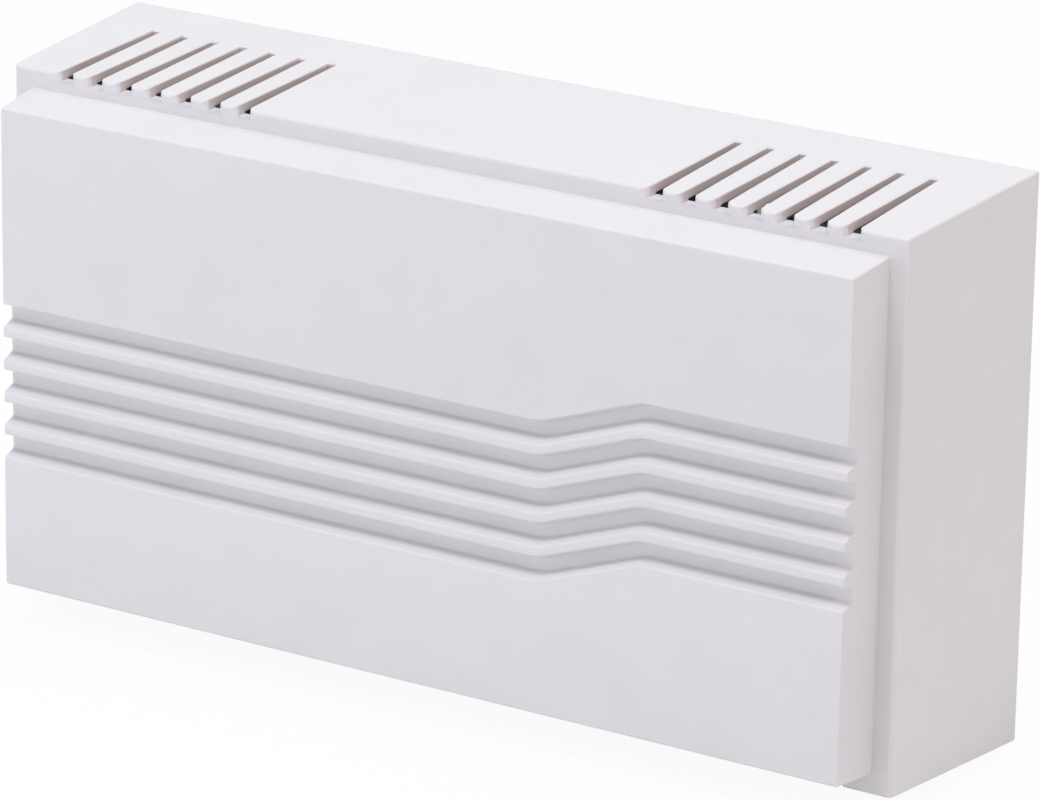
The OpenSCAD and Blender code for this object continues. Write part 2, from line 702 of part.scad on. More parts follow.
module striker_left(door) color("white") on_axis(door) difference() {
    union() {
        rod(core_left_x, core_left_x + spigot_l, spigot_d);
        rod(tip_left_x + striker_d / 2, core_left_x, striker_d);
        translate([tip_left_x + striker_d / 2, 0, 0]) sphere(d = striker_d);
    }
    difference() {
        rod(clip_x - clip_t - seat_fit, clip_x, striker_d + over);
        rod(clip_x - clip_t - over, clip_x + over, clip_groove_d);
    }
}

module spring_collar(door) color("white") on_axis(door) difference() {
    rod(clip_x, collar_x, collar_d);
    rod(clip_x - over, collar_x + over, striker_d + 2 * seat_fit);
}

module spring_clip(door) color("dimgray") on_axis(door) difference() {
    rod(clip_x - clip_t, clip_x, clip_d);
    rod(clip_x - clip_t - over, clip_x + over, clip_groove_d + 2 * seat_fit);
    translate([clip_x - clip_t - over, -clip_groove_d / 2, 0]) cube([clip_t + 2 * over, clip_groove_d, clip_d]);
}

module return_spring(door) color("silver") on_axis(door) tube(spring_line(), spring_wire_d, SPRING_SIDES);

module rear_return_pad() color("darkolivegreen") translate([pad_x - pad_t / 2, 0, coil_z - coil_pitch / 2])
    block(axis_d - pad_w / 2, axis_d + pad_w / 2, pad_t, pad_w);

// Tone bars

module tone_bar(side, bar_l, node_z) color("lightgray") difference() {
    translate([side * (bar_x + bar_t / 2), 0, 0]) block(axis_d - bar_w / 2, axis_d + bar_w / 2, bar_t, bar_l);
    at_bar_nodes(node_z) rod(-cover_w / 2, cover_w / 2, grommet_neck_d + 2 * seat_fit);
}

// A piece along the bar screws, drawn for the right bar and mirrored for the left
module on_bar(side, node_z) at_bar_nodes(node_z) mirror([side == LEFT ? 1 : 0, 0, 0]) children();

module bar_grommets(side, node_z) color("black") on_bar(side, node_z) difference() {
    union() {
        rod(bar_head_x, bar_x, grommet_d);
        rod(bar_x, bar_back_x, grommet_neck_d);
        rod(bar_back_x, post_x, grommet_d);
    }
    rod(bar_head_x - over, post_x + over, grommet_bore_d + 2 * seat_fit);
}

module bar_screws(side, node_z) color("silver") on_bar(side, node_z) {
    translate([bar_head_x, 0, 0]) rotate([0, -90, 0])
        pan_screw(bar_screw_head_d, bar_screw_head_h, grommet_bore_d, post_x - bar_head_x);
    rod(post_x, post_x + bar_thread_l, screw_d);
}

// Leads

module lead(route) color("firebrick") translate([0, 0, coil_z]) tube(smooth(route), lead_d, LEAD_SIDES);

echo(least_gap_between_spring_curls = least_gap(spring_line(), spring_wire_d));

cover();
base_plate();
terminal_block();
terminal_plates();
terminal_block_screws();
clamp_washer(BAYS[0]);  // front_clamp
clamp_washer(BAYS[1]);  // common_clamp
clamp_washer(BAYS[2]);  // rear_clamp
terminal_screw(BAYS[0]);  // front_terminal_screw
terminal_screw(BAYS[1]);  // common_terminal_screw
terminal_screw(BAYS[2]);  // rear_terminal_screw
coil_frame(FRONT_DOOR);  // front_coil_frame
coil_bobbin(FRONT_DOOR);  // front_coil_bobbin
coil_winding(FRONT_DOOR);  // front_coil_winding
plunger_core(FRONT_DOOR);  // front_plunger_core
striker_left(FRONT_DOOR);  // front_striker_left
striker_right(FRONT_DOOR);  // front_striker_right
spring_collar(FRONT_DOOR);  // front_spring_collar
spring_clip(FRONT_DOOR);  // front_spring_clip
return_spring(FRONT_DOOR);  // front_spring
coil_frame(REAR_DOOR);  // rear_coil_frame
coil_bobbin(REAR_DOOR);  // rear_coil_bobbin
coil_winding(REAR_DOOR);  // rear_coil_winding
plunger_core(REAR_DOOR);  // rear_plunger_core
striker_left(REAR_DOOR);  // rear_striker_left
striker_right(REAR_DOOR);  // rear_striker_right
spring_collar(REAR_DOOR);  // rear_spring_collar
spring_clip(REAR_DOOR);  // rear_spring_clip
return_spring(REAR_DOOR);  // rear_spring
rear_return_pad();
coil_frame_screws();
tone_bar(LEFT, low_bar_l, low_node_z);  // low_tone_bar
tone_bar(RIGHT, high_bar_l, high_node_z);  // high_tone_bar
bar_grommets(LEFT, low_node_z);  // low_bar_grommets
bar_grommets(RIGHT, high_node_z);  // high_bar_grommets
bar_screws(LEFT, low_node_z);  // low_bar_screws
bar_screws(RIGHT, high_node_z);  // high_bar_screws
lead(FRONT_LEAD);  // front_lead
lead(COMMON_LEAD);  // common_lead
lead(REAR_LEAD);  // rear_lead
lead(COIL_JUMPER);  // coil_jumper
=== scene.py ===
"""Looks of a wired two-note door chime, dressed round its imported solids.

Everything is in metres and in the frame of the solids: the wall is the plane y = 0, the front of the
chime faces -Y, +Z is up and the origin is the middle of the base plate's back.
"""

import json
import logging
import math
from abc import ABC, abstractmethod
from dataclasses import dataclass, field
from enum import Enum
from typing import Iterable, Sequence

import bmesh
import bpy
from bmesh.types import BMEdge, BMesh, BMVert
from bpy.types import ID, Material, Mesh, Node, NodeSocket, NodeTree, Object, Scene, World
from mathutils import Matrix, Quaternion, Vector, noise


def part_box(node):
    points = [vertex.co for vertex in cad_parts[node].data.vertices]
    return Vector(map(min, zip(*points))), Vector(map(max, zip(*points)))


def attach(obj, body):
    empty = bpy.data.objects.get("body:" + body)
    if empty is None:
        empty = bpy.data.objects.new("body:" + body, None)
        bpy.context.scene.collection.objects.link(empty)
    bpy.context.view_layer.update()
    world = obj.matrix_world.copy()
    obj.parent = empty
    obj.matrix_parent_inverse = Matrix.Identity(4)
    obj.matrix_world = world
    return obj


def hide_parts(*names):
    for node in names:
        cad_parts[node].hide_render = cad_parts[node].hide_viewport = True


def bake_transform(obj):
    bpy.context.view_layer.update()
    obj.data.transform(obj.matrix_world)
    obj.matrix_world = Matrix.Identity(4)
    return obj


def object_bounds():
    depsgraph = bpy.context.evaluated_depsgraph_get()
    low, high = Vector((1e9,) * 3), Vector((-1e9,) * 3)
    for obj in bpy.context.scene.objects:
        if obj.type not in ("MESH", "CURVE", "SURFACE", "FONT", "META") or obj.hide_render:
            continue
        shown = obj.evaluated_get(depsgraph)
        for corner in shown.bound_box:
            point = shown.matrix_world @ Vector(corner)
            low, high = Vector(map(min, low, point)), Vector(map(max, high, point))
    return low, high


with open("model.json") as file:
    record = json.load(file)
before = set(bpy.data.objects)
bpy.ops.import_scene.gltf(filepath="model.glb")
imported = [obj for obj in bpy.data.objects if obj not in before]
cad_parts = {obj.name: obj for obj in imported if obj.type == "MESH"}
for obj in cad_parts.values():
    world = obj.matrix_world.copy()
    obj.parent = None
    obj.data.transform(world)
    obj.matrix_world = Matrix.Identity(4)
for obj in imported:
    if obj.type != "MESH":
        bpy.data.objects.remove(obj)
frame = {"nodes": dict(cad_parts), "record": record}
CAD_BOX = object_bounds()

LOG = logging.getLogger("door_chime")
MM = 0.001
Point = Sequence[float]
Feeds = dict[str | int, object]
BODY_OF = {node: body for body, nodes in frame["record"]["behaviour"]["bodies"].items() for node in nodes}

# A solid's loose triangles meet within this distance, and its flat faces within this angle
MERGE = 0.002 * MM
FLAT = math.radians(0.4)
# An edge that turns by more than this is a corner
CORNER = math.radians(28)
# An edge that turns by less than this is shaded smooth
SMOOTH = math.radians(50)
# The profile that makes a bevel round
ROUND = 0.5
# The rotation that turns a small piece's axis from up to facing the room
FACING_ROOM = (math.pi / 2, 0.0, 0.0)
WHITE = "#FFFFFF"


class Door(Enum):
    """The two pushes that a chime answers, each with a solenoid of its own."""

    FRONT = "front"
    REAR = "rear"


class Note(Enum):
    """The two tone bars, with the side of the box that each hangs on."""

    LOW = -1
    HIGH = 1


class Grain(Enum):
    """How a surface was made, as the stretch of its fine pattern along X, Y and Z."""

    MOULDED = (1.0, 1.0, 1.0)
    BRUSHED_ALONG_Z = (1.0, 1.0, 0.04)
    TURNED_ABOUT_X = (1.0, 0.06, 0.06)
    ROLLED_ALONG_X = (0.05, 1.0, 1.0)
    FIBRES = (0.45, 1.2, 0.8)


class Skin(Enum):
    """What a face of the cover belongs to, as its material index."""

    OUTSIDE = 0
    INSIDE = 1
    # The slots' walls, which take the ABS with its pink-tan painted shade
    SLOT = 2
    SILL = 3


def linear(colour: str) -> tuple[float, ...]:
    """Turn an sRGB hex colour into linear light.

    Args:
        colour: Six hex digits after a hash sign.

    Returns:
        Red, green, blue and alpha, each from 0 to 1.
    """
    parts = [int(colour[i:i + 2], 16) / 255 for i in (1, 3, 5)]
    return (*(p / 12.92 if p <= 0.04045 else ((p + 0.055) / 1.055) ** 2.4 for p in parts), 1.0)


class Graph:
    """A node tree that is written from its sources to its output."""

    def __init__(self, tree: NodeTree) -> None:
        """Take the tree that the nodes go into."""
        self.tree = tree

    @classmethod
    def within(cls, owner: Material | World) -> "Graph":
        """Empty the nodes of a material or a world.

        Args:
            owner: What the nodes belong to.

        Returns:
            Its tree, ready to be written.
        """
        owner.use_nodes = True
        owner.node_tree.nodes.clear()
        return cls(owner.node_tree)

    def node(self, kind: str, feeds: Feeds | None = None, **settings: object) -> Node:
        """Add a node with its settings, values and links.

        Args:
            kind: The node's type.
            feeds: What each input gets, by its name or number: a value, an output or a list of outputs.
            settings: The node's own properties.

        Returns:
            The new node.
        """
        node = self.tree.nodes.new(kind)
        for key, value in settings.items():
            setattr(node, key, value)
        for socket, feed in (feeds or {}).items():
            for value in feed if isinstance(feed, list) else [feed]:
                if isinstance(value, NodeSocket):
                    self.tree.links.new(value, node.inputs[socket])
                else:
                    node.inputs[socket].default_value = value
        return node

    def add(self, kind: str, feeds: Feeds | None = None, **settings: object) -> NodeSocket:
        """Add a node and return its first output."""
        return self.node(kind, feeds, **settings).outputs[0]

    def maths(self, operation: str, *values: NodeSocket | float) -> NodeSocket:
        """Add a calculation and return its result."""
        return self.add("ShaderNodeMath", dict(enumerate(values)), operation=operation)


# The grain's part in the wear of a surface, and the spans of wear and grain over which the looks change
GRAIN_WEAR = 0.45
WEAR_SPAN = {"From Min": 0.5, "From Max": 0.95}
GRAIN_SPAN = {"From Min": 0.3, "From Max": 0.7}


@dataclass(frozen=True)
class Finish:
    """A real material and how its surface was made.

    Its colour goes over into its shade in clouds. Its grain has a size and a relief, and varies the
    roughness up and down by the spread.
    """

    name: str
    slot: str
    colour: str
    shade: str
    grain_mm: float
    relief_mm: float
    roughness: float
    spread: float
    grain: Grain = Grain.MOULDED
    cloud_mm: float = 14.0
    metallic: float = 0.0
    ior: float = 1.5
    coat: float = 0.0
    coat_roughness: float = 0.12
    sheen: float = 0.0
    subsurface: float = 0.0
    subsurface_mm: float = 0.8
    subsurface_shares: tuple[float, float, float] = (1.0, 0.9, 0.8)

    def material(self) -> Material:
        """Make the material when it is first asked for.

        Returns:
            The material.
        """
        if self.name in bpy.data.materials:
            return bpy.data.materials[self.name]
        material = bpy.data.materials.new(self.name)
        graph = Graph.within(material)
        place = graph.node("ShaderNodeTexCoord").outputs["Object"]
        lie = graph.add("ShaderNodeMapping", {"Vector": place, "Scale": self.grain.value})
        fine = graph.add("ShaderNodeTexNoise", {
            "Vector": lie, "Scale": 1 / (self.grain_mm * MM), "Detail": 3.0, "Roughness": 0.55})
        cloud = graph.add("ShaderNodeTexNoise", {
            "Vector": place, "Scale": 1 / (self.cloud_mm * MM), "Detail": 2.0})
        worn = graph.maths("MULTIPLY_ADD", fine, GRAIN_WEAR, cloud)
        share = graph.add("ShaderNodeMapRange", {"Value": worn, **WEAR_SPAN})
        tint = graph.node("ShaderNodeMix", {
            0: share, 6: linear(self.colour), 7: linear(self.shade)}, data_type="RGBA")
        rough = graph.add("ShaderNodeMapRange", {
            "Value": fine, **GRAIN_SPAN,
            "To Min": self.roughness - self.spread, "To Max": self.roughness + self.spread})
        bump = graph.add("ShaderNodeBump", {
            "Height": fine, "Distance": self.relief_mm * MM, "Strength": 1.0})
        shader = graph.add("ShaderNodeBsdfPrincipled", {
            "Base Color": tint.outputs[2], "Roughness": rough, "Normal": bump, "Metallic": self.metallic,
            "IOR": self.ior, "Coat Weight": self.coat, "Coat Roughness": self.coat_roughness,
            "Sheen Weight": self.sheen, "Subsurface Weight": self.subsurface,
            "Subsurface Radius": self.subsurface_shares, "Subsurface Scale": self.subsurface_mm * MM})
        graph.node("ShaderNodeOutputMaterial", {"Surface": shader})
        return material


@dataclass(frozen=True)
class Metal(Finish):
    """A finish of bare or plated metal."""

    metallic: float = 1.0


# ABS from a spark-eroded mould: a satin white whose faint grain breaks up the gloss. The grain is drawn
# coarser than the real 0.1 mm so that it shows.
COVER_ABS = Finish(
    "abs_satin_white", "cover_abs", "#DFDEE2", "#DCDBDF", 0.8, 0.004, 0.38, 0.05, ior=1.53)
# The same ABS on the slots' walls, with a pink-tan tint as painted shade: the warm, dim cast of these
# shaded walls between the white lands
SLOT_WALL_PAINTED_SHADE = Finish(
    "abs_satin_white_slots", "cover_abs", "#DFD5D5", "#D9CECE", 0.8, 0.004, 0.45, 0.05, ior=1.53)
# ABS with more regrind in it and a matt mould: a flat, slightly warm white
BASE_ABS = Finish(
    "abs_matt_off_white", "base_abs", "#DEDCD5", "#DBD9D1", 0.7, 0.012, 0.58, 0.07, ior=1.53)
# Phenolic moulding powder: nearly black, with brown wood-flour specks under a hard half gloss
PHENOLIC = Finish(
    "phenolic_moulded_black", "block_phenolic", "#1E1B19", "#3A2F28", 0.5, 0.006, 0.38, 0.1,
    cloud_mm=3.0, ior=1.6)
# Brass strip as rolled and blanked: warm yellow with long rolling lines and a slightly dulled film
BRASS_STRIP = Metal(
    "brass_rolled", "terminal_brass", "#D9B25C", "#B88D3E", 0.35, 0.004, 0.28, 0.09, Grain.ROLLED_ALONG_X)
# Brass bar turned on a lathe: brighter than strip, with a fine even grain
BRASS_TURNED = Metal(
    "brass_turned", "terminal_screw_brass", "#DDB964", "#C59B48", 0.4, 0.003, 0.24, 0.07)
# Steel with bright zinc plating: pale blue-grey with a cloudy, slightly frosted gloss
ZINC_WASHER = Metal(
    "steel_zinc_stamped", "clamp_zinc", "#C9CED4", "#AAB1B9", 0.5, 0.004, 0.3, 0.1, cloud_mm=4.0)
ZINC_SCREW = Metal(
    "steel_zinc_headed", "zinc_screw", "#CDD1D6", "#B0B6BD", 0.4, 0.003, 0.27, 0.09, cloud_mm=3.0)
# Mild steel strip, sheared, bent and zinc plated: rolling lines still show through the plating
STEEL_STRIP = Metal(
    "steel_strip_zinc", "frame_steel", "#BFC5CB", "#9FA6AE", 0.4, 0.006, 0.34, 0.1, Grain.ROLLED_ALONG_X,
    cloud_mm=9.0)
# Natural nylon: a milky ivory that lets some light in
NYLON_NATURAL = Finish(
    "nylon_natural", "bobbin_nylon", "#E9E2CC", "#DFD6BB", 0.8, 0.004, 0.4, 0.06, ior=1.53,
    subsurface=0.15)
# Enamelled copper wire: red-brown metal under a clear glossy varnish
COPPER_ENAMELLED = Metal(
    "copper_enamelled", "winding_copper", "#C8693A", "#A24E27", 0.9, 0.002, 0.26, 0.06, cloud_mm=5.0,
    coat=0.6)
# Free-cutting steel turned on a lathe: grey rings round the rod, faintly oiled
STEEL_TURNED = Metal(
    "steel_turned", "core_steel", "#A9ADB2", "#858A90", 0.3, 0.006, 0.3, 0.1, Grain.TURNED_ABOUT_X)
# White nylon, moulded: cleaner than the natural one, with a soft gloss
NYLON_WHITE = Finish(
    "nylon_white", "striker_nylon", "#EFEDE6", "#E6E3DA", 0.6, 0.003, 0.36, 0.05, ior=1.53, subsurface=0.15)
# Spring steel with a phosphate coat: dark grey and dry
STEEL_PHOSPHATED = Metal("steel_phosphated", "clip_steel", "#4B4E52", "#37393D", 0.3, 0.006, 0.5, 0.08)
# Drawn spring wire: bright grey and smooth
STEEL_WIRE = Metal("steel_spring_wire", "spring_steel", "#B9BDC2", "#9A9FA5", 0.5, 0.003, 0.27, 0.07)
# Pressed wool felt: matt grey-green fibres that stand up at the edges
FELT = Finish(
    "wool_felt_pressed", "pad_felt", "#6E6F58", "#57583F", 0.35, 0.12, 0.95, 0.04, Grain.FIBRES,
    cloud_mm=1.5, sheen=0.5)
# Steel bar, brushed lengthways and nickel plated: warm silver with long fine scratches
BAR_NICKEL = Metal(
    "steel_brushed_nickel", "bar_steel", "#C9C6BF", "#B1ADA5", 0.3, 0.006, 0.27, 0.1, Grain.BRUSHED_ALONG_Z,
    cloud_mm=18.0)
# Soft black rubber with a bloom: nearly black, with a grey cast and no gloss
RUBBER = Finish(
    "rubber_moulded_black", "grommet_rubber", "#232325", "#303032", 0.5, 0.01, 0.68, 0.08, cloud_mm=4.0)
# Extruded PVC sheath: even colour with a slight wet gloss
PVC_RED, PVC_WHITE, PVC_BLUE = (
    Finish(f"pvc_{name}", f"lead_{name}", colour, shade, 0.6, 0.003, 0.36, 0.06, ior=1.54)
    for name, colour, shade in (
        ("red", "#B3262B", "#9C1F24"), ("white", "#E4E2DC", "#D8D5CD"), ("blue", "#2C55A0", "#23478A")))
# Soft solder: bright grey that freezes with a slightly rippled skin
SOLDER = Metal("solder_tin_lead", "clamp_zinc", "#C4C6C8", "#A3A6A9", 0.5, 0.01, 0.24, 0.08, cloud_mm=2.0)


def add_object(name: str, data: ID) -> Object:
    """Put a mesh, a lamp or a camera in the scene.

    Args:
        name: The new object's name.
        data: What it holds.

    Returns:
        The new object.
    """
    piece = bpy.data.objects.new(name, data)
    bpy.context.scene.collection.objects.link(piece)
    return piece


def from_bmesh(name: str, bm: BMesh) -> Object:
    """Put a bmesh in the scene as a new object, and free the bmesh.

    Args:
        name: The new object's name.
        bm: Its form.

    Returns:
        The new object.
    """
    mesh = bpy.data.meshes.new(name)
    bm.to_mesh(mesh)
    bm.free()
    return add_object(name, mesh)


def from_lines(name: str, points: Iterable[Point], joined: bool = False) -> Mesh:
    """Make a mesh of bare points, or of the line through them.

    Args:
        name: The mesh's name.
        points: The points in order.
        joined: Whether an edge joins each point to the next.

    Returns:
        The mesh.
    """
    places = [tuple(p) for p in points]
    mesh = bpy.data.meshes.new(name)
    mesh.from_pydata(places, [(i, i + 1) for i in range(len(places) - 1)] if joined else [], [])
    return mesh


def box_of(node: str) -> tuple[Vector, Vector]:
    """Return the low and the high corner of a solid's box."""
    low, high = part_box(node)
    return Vector(low), Vector(high)


def plain(piece: Object) -> Object:
    """Give a piece its evaluated mesh, and drop its modifiers.

    Args:
        piece: The piece that is changed.

    Returns:
        The same piece.
    """
    graph = bpy.context.evaluated_depsgraph_get()
    mesh = bpy.data.meshes.new_from_object(piece.evaluated_get(graph), depsgraph=graph)
    piece.modifiers.clear()
    piece.data = mesh
    mesh.name = piece.name
    return piece


def modified(piece: Object, kind: str, **settings: object) -> Object:
    """Put a piece through one modifier, and keep the result as its mesh.

    Args:
        piece: The piece that is changed.
        kind: The modifier's type.
        settings: The modifier's properties.

    Returns:
        The same piece.
    """
    modifier = piece.modifiers.new(kind.lower(), kind)
    for key, value in settings.items():
        setattr(modifier, key, value)
    return plain(piece)


def carved(piece: Object, tool: Object, operation: str = "DIFFERENCE") -> Object:
    """Cut a tool out of a piece, or add it, and throw the tool away.

    Args:
        piece: The piece that is changed.
        tool: The form that cuts it or is added to it.
        operation: The boolean's operation.

    Returns:
        The same piece.
    """
    modified(piece, "BOOLEAN", object=tool, operation=operation, solver="EXACT", material_mode="INDEX")
    bpy.data.objects.remove(tool)
    return piece


def shaded(piece: Object) -> Object:
    """Shade a piece smooth between its sharp edges, with its flats kept flat.

    Args:
        piece: The piece that is changed.

    Returns:
        The same piece.
    """
    piece.data.shade_smooth()
    piece.data.set_sharp_from_angle(angle=SMOOTH)
    return modified(piece, "WEIGHTED_NORMAL", keep_sharp=True)


def dressed(piece: Object, finish: Finish) -> Object:
    """Give every face of a piece one finish.

    Args:
        piece: The piece that is changed.
        finish: What it is made of.

    Returns:
        The same piece.
    """
    mesh = piece.data
    mesh.materials.clear()
    mesh.materials.append(finish.material())
    mesh.polygons.foreach_set("material_index", [0] * len(mesh.polygons))
    return piece


def stands_for(piece: Object, node: str) -> Object:
    """Let a finished piece take the place of a solid and move with its body.

    Args:
        piece: The finished piece.
        node: The solid's name.

    Returns:
        The same piece.
    """
    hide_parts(node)
    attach(piece, BODY_OF[node])
    return piece


def eased(node: str, finish: Finish, radius: float, steps: int = 3) -> Object:
    """Copy a solid as one closed mesh, round its outer edges and let it stand for the solid.

    Args:
        node: The solid's name.
        finish: What it is made of.
        radius: The radius of its edges.
        steps: Faces round each edge.

    Returns:
        The finished piece.
    """
    bm = bmesh.new()
    bm.from_mesh(frame["nodes"][node].data)
    bmesh.ops.remove_doubles(bm, verts=bm.verts, dist=MERGE)
    bmesh.ops.dissolve_limit(bm, angle_limit=FLAT, verts=bm.verts, edges=bm.edges)
    inner = (e for e in bm.edges if len(e.link_faces) == 2)
    corners = [e for e in inner if e.is_convex and e.calc_face_angle() > CORNER]
    bmesh.ops.bevel(bm, geom=corners, offset=radius, offset_type="OFFSET", segments=steps, profile=ROUND,
                    affect="EDGES", clamp_overlap=True)
    piece = shaded(from_bmesh(f"{node}_finished", bm))
    return stands_for(dressed(piece, finish), node)


def turned(bm: BMesh, profile: Sequence[tuple[float, float]], sides: int) -> None:
    """Turn a profile about Z into a closed form.

    Args:
        bm: The bmesh that takes the form.
        profile: Height and radius of each point, in order.
        sides: Faces round the axis.
    """
    rings = []
    for height, radius in profile:
        turns = [2 * math.pi * k / sides for k in range(sides)] if radius else [0.0]
        rings.append([bm.verts.new((radius * math.cos(a), radius * math.sin(a), height)) for a in turns])
    for low, high in zip(rings, rings[1:]):
        for k in range(sides):
            loop = [ring[i % len(ring)] for ring, i in ((low, k), (low, k + 1), (high, k + 1), (high, k))]
            bm.faces.new(list(dict.fromkeys(loop)))
    bmesh.ops.recalc_face_normals(bm, faces=bm.faces)


class Recipe(Graph):
    """A geometry tree with named inputs, which ends in real, dressed geometry."""

    def __init__(self, name: str, inputs: dict[str, str]) -> None:
        """Start the tree.

        Args:
            name: The tree's name.
            inputs: Each input's label and the kind of its socket. The material is added to them.
        """
        super().__init__(bpy.data.node_groups.new(name, "GeometryNodeTree"))
        sockets = self.tree.interface
        for label, kind in {**inputs, "Material": "Material"}.items():
            sockets.new_socket(label, in_out="INPUT", socket_type=f"NodeSocket{kind}")
        sockets.new_socket("Geometry", in_out="OUTPUT", socket_type="NodeSocketGeometry")
        self.sizes = self.node("NodeGroupInput").outputs

    def spot(self) -> dict[str, NodeSocket]:
        """Return the place of each point, by its axis."""
        parts = self.node("ShaderNodeSeparateXYZ", {0: self.add("GeometryNodeInputPosition")}).outputs
        return {axis: parts[axis] for axis in "XYZ"}

    def vector(self, **parts: NodeSocket) -> NodeSocket:
        """Join numbers into a vector, with zero for an axis that isn't given."""
        return self.add("ShaderNodeCombineXYZ", parts)

    def tube(self, curve: NodeSocket, diameter: NodeSocket) -> NodeSocket:
        """Draw a closed round tube along a curve."""
        section = self.add("GeometryNodeCurvePrimitiveCircle", {
            "Resolution": self.sizes["Sides"], "Radius": self.maths("MULTIPLY", diameter, 0.5)})
        return self.add("GeometryNodeCurveToMesh", {
            "Curve": curve, "Profile Curve": section, "Fill Caps": True})

    def row(self, form: NodeSocket, count: NodeSocket | int, pitch: NodeSocket) -> NodeSocket:
        """Set copies of a form in a row along X, with its middle at the origin.

        Args:
            form: What is copied.
            count: How many copies there are.
            pitch: The way from one copy to the next.

        Returns:
            The copies.
        """
        span = self.maths("MULTIPLY", self.maths("ADD", count, -1.0), pitch)
        points = self.add("GeometryNodeMeshLine", {
            "Count": count, "Start Location": self.vector(X=self.maths("MULTIPLY", span, -0.5)),
            "Offset": self.vector(X=pitch)})
        return self.add("GeometryNodeInstanceOnPoints", {"Points": points, "Instance": form})

    def end(self, geometry: NodeSocket) -> "Recipe":
        """End the tree in real geometry of one material.

        Args:
            geometry: What the tree has made.

        Returns:
            The finished tree.
        """
        real = self.add("GeometryNodeRealizeInstances", {"Geometry": geometry})
        covered = self.add("GeometryNodeSetMaterial", {
            "Geometry": real, "Material": self.sizes["Material"]})
        self.node("NodeGroupOutput", {"Geometry": covered})
        return self

    def grown(self, name: str, finish: Finish, inputs: dict[str, object],
              source: Mesh | None = None) -> Object:
        """Run the tree and keep its result as a plain mesh.

        Args:
            name: The new object's name.
            finish: What it is made of.
            inputs: The value of each other input, by its label.
            source: The mesh that the tree starts from, if it needs one.

        Returns:
            The new object.
        """
        piece = add_object(name, source or bpy.data.meshes.new(name))
        modifier = piece.modifiers.new(self.tree.name, "NODES")
        modifier.node_group = self.tree
        items = self.tree.interface.items_tree
        sockets = {item.name: item.identifier for item in items if item.in_out == "INPUT"}
        for label, value in {**inputs, "Material": finish.material()}.items():
            modifier[sockets[label]] = value
        return plain(piece)


def vent_recipe() -> Recipe:
    """Write the tree that makes two groups of tapered slot cutters above, and two below.

    Returns:
        The tree.
    """
    lengths = ("Pitch", "Place", "Front Width", "Rear Width", "Front", "Rear", "Bottom", "Top")
    tree = Recipe("vent_slots", {"Count": "Int", **dict.fromkeys(lengths, "Float")})
    block = tree.add("GeometryNodeMeshCube", {"Size": (1.0, 1.0, 1.0)})
    spot = tree.spot()

    def along(axis: str, low: str, high: str) -> NodeSocket:
        """Return a length that goes from one size to another along an axis of the block."""
        return tree.add("ShaderNodeMapRange", {
            "Value": spot[axis], "From Min": -0.5, "From Max": 0.5,
            "To Min": tree.sizes[low], "To Max": tree.sizes[high]})

    width = along("Y", "Front Width", "Rear Width")
    place = tree.vector(
        X=tree.maths("MULTIPLY", spot["X"], width),
        Y=along("Y", "Front", "Rear"),
        Z=along("Z", "Bottom", "Top"))
    slot = tree.add("GeometryNodeSetPosition", {"Geometry": block, "Position": place})
    group = tree.row(slot, tree.sizes["Count"], tree.sizes["Pitch"])
    pair = tree.row(group, 2, tree.maths("MULTIPLY", tree.sizes["Place"], 2.0))
    above = tree.add("GeometryNodeRealizeInstances", {"Geometry": pair})
    below = tree.add("GeometryNodeTransform", {"Geometry": above, "Rotation": (0.0, math.pi, 0.0)})
    return tree.end(tree.add("GeometryNodeJoinGeometry", {"Geometry": [above, below]}))


def coil_recipe() -> Recipe:
    """Write the tree that winds round wire along -X, with its turns closer at the ends if asked.

    Returns:
        The tree.
    """
    lengths = ("Turns", "Radius", "Length", "Wire", "Crowding")
    tree = Recipe("wound_wire", {
        "Steps": "Int", "Sides": "Int", **dict.fromkeys(lengths, "Float"), "Start": "Vector"})
    sizes = tree.sizes
    helix = tree.add("GeometryNodeCurveSpiral", {
        "Resolution": sizes["Steps"], "Rotations": sizes["Turns"], "Start Radius": sizes["Radius"],
        "End Radius": sizes["Radius"], "Height": sizes["Length"]})
    share = tree.maths("DIVIDE", tree.spot()["Z"], sizes["Length"])
    wave = tree.maths("SINE", tree.maths("MULTIPLY", share, 2 * math.pi))
    reach = tree.maths("DIVIDE", sizes["Length"], -2 * math.pi)
    crowd = tree.maths("MULTIPLY", wave, tree.maths("MULTIPLY", reach, sizes["Crowding"]))
    close = tree.add("GeometryNodeSetPosition", {"Geometry": helix, "Offset": tree.vector(Z=crowd)})
    laid = tree.add("GeometryNodeTransform", {
        "Geometry": tree.tube(close, sizes["Wire"]), "Translation": sizes["Start"],
        "Rotation": (0.0, -math.pi / 2, 0.0)})
    return tree.end(laid)


def sheath_recipe() -> Recipe:
    """Write the tree that draws a round sheath on a smooth curve through a line of points.

    Returns:
        The tree.
    """
    tree = Recipe("lead_sheath", {
        "Geometry": "Geometry", "Diameter": "Float", "Sides": "Int", "Steps": "Int"})
    line = tree.add("GeometryNodeMeshToCurve", {"Mesh": tree.sizes["Geometry"]})
    curve = tree.add("GeometryNodeCurveSplineType", {"Curve": line}, spline_type="CATMULL_ROM")
    fine = tree.add("GeometryNodeSetSplineResolution", {
        "Geometry": curve, "Resolution": tree.sizes["Steps"]})
    return tree.end(tree.tube(fine, tree.sizes["Diameter"]))


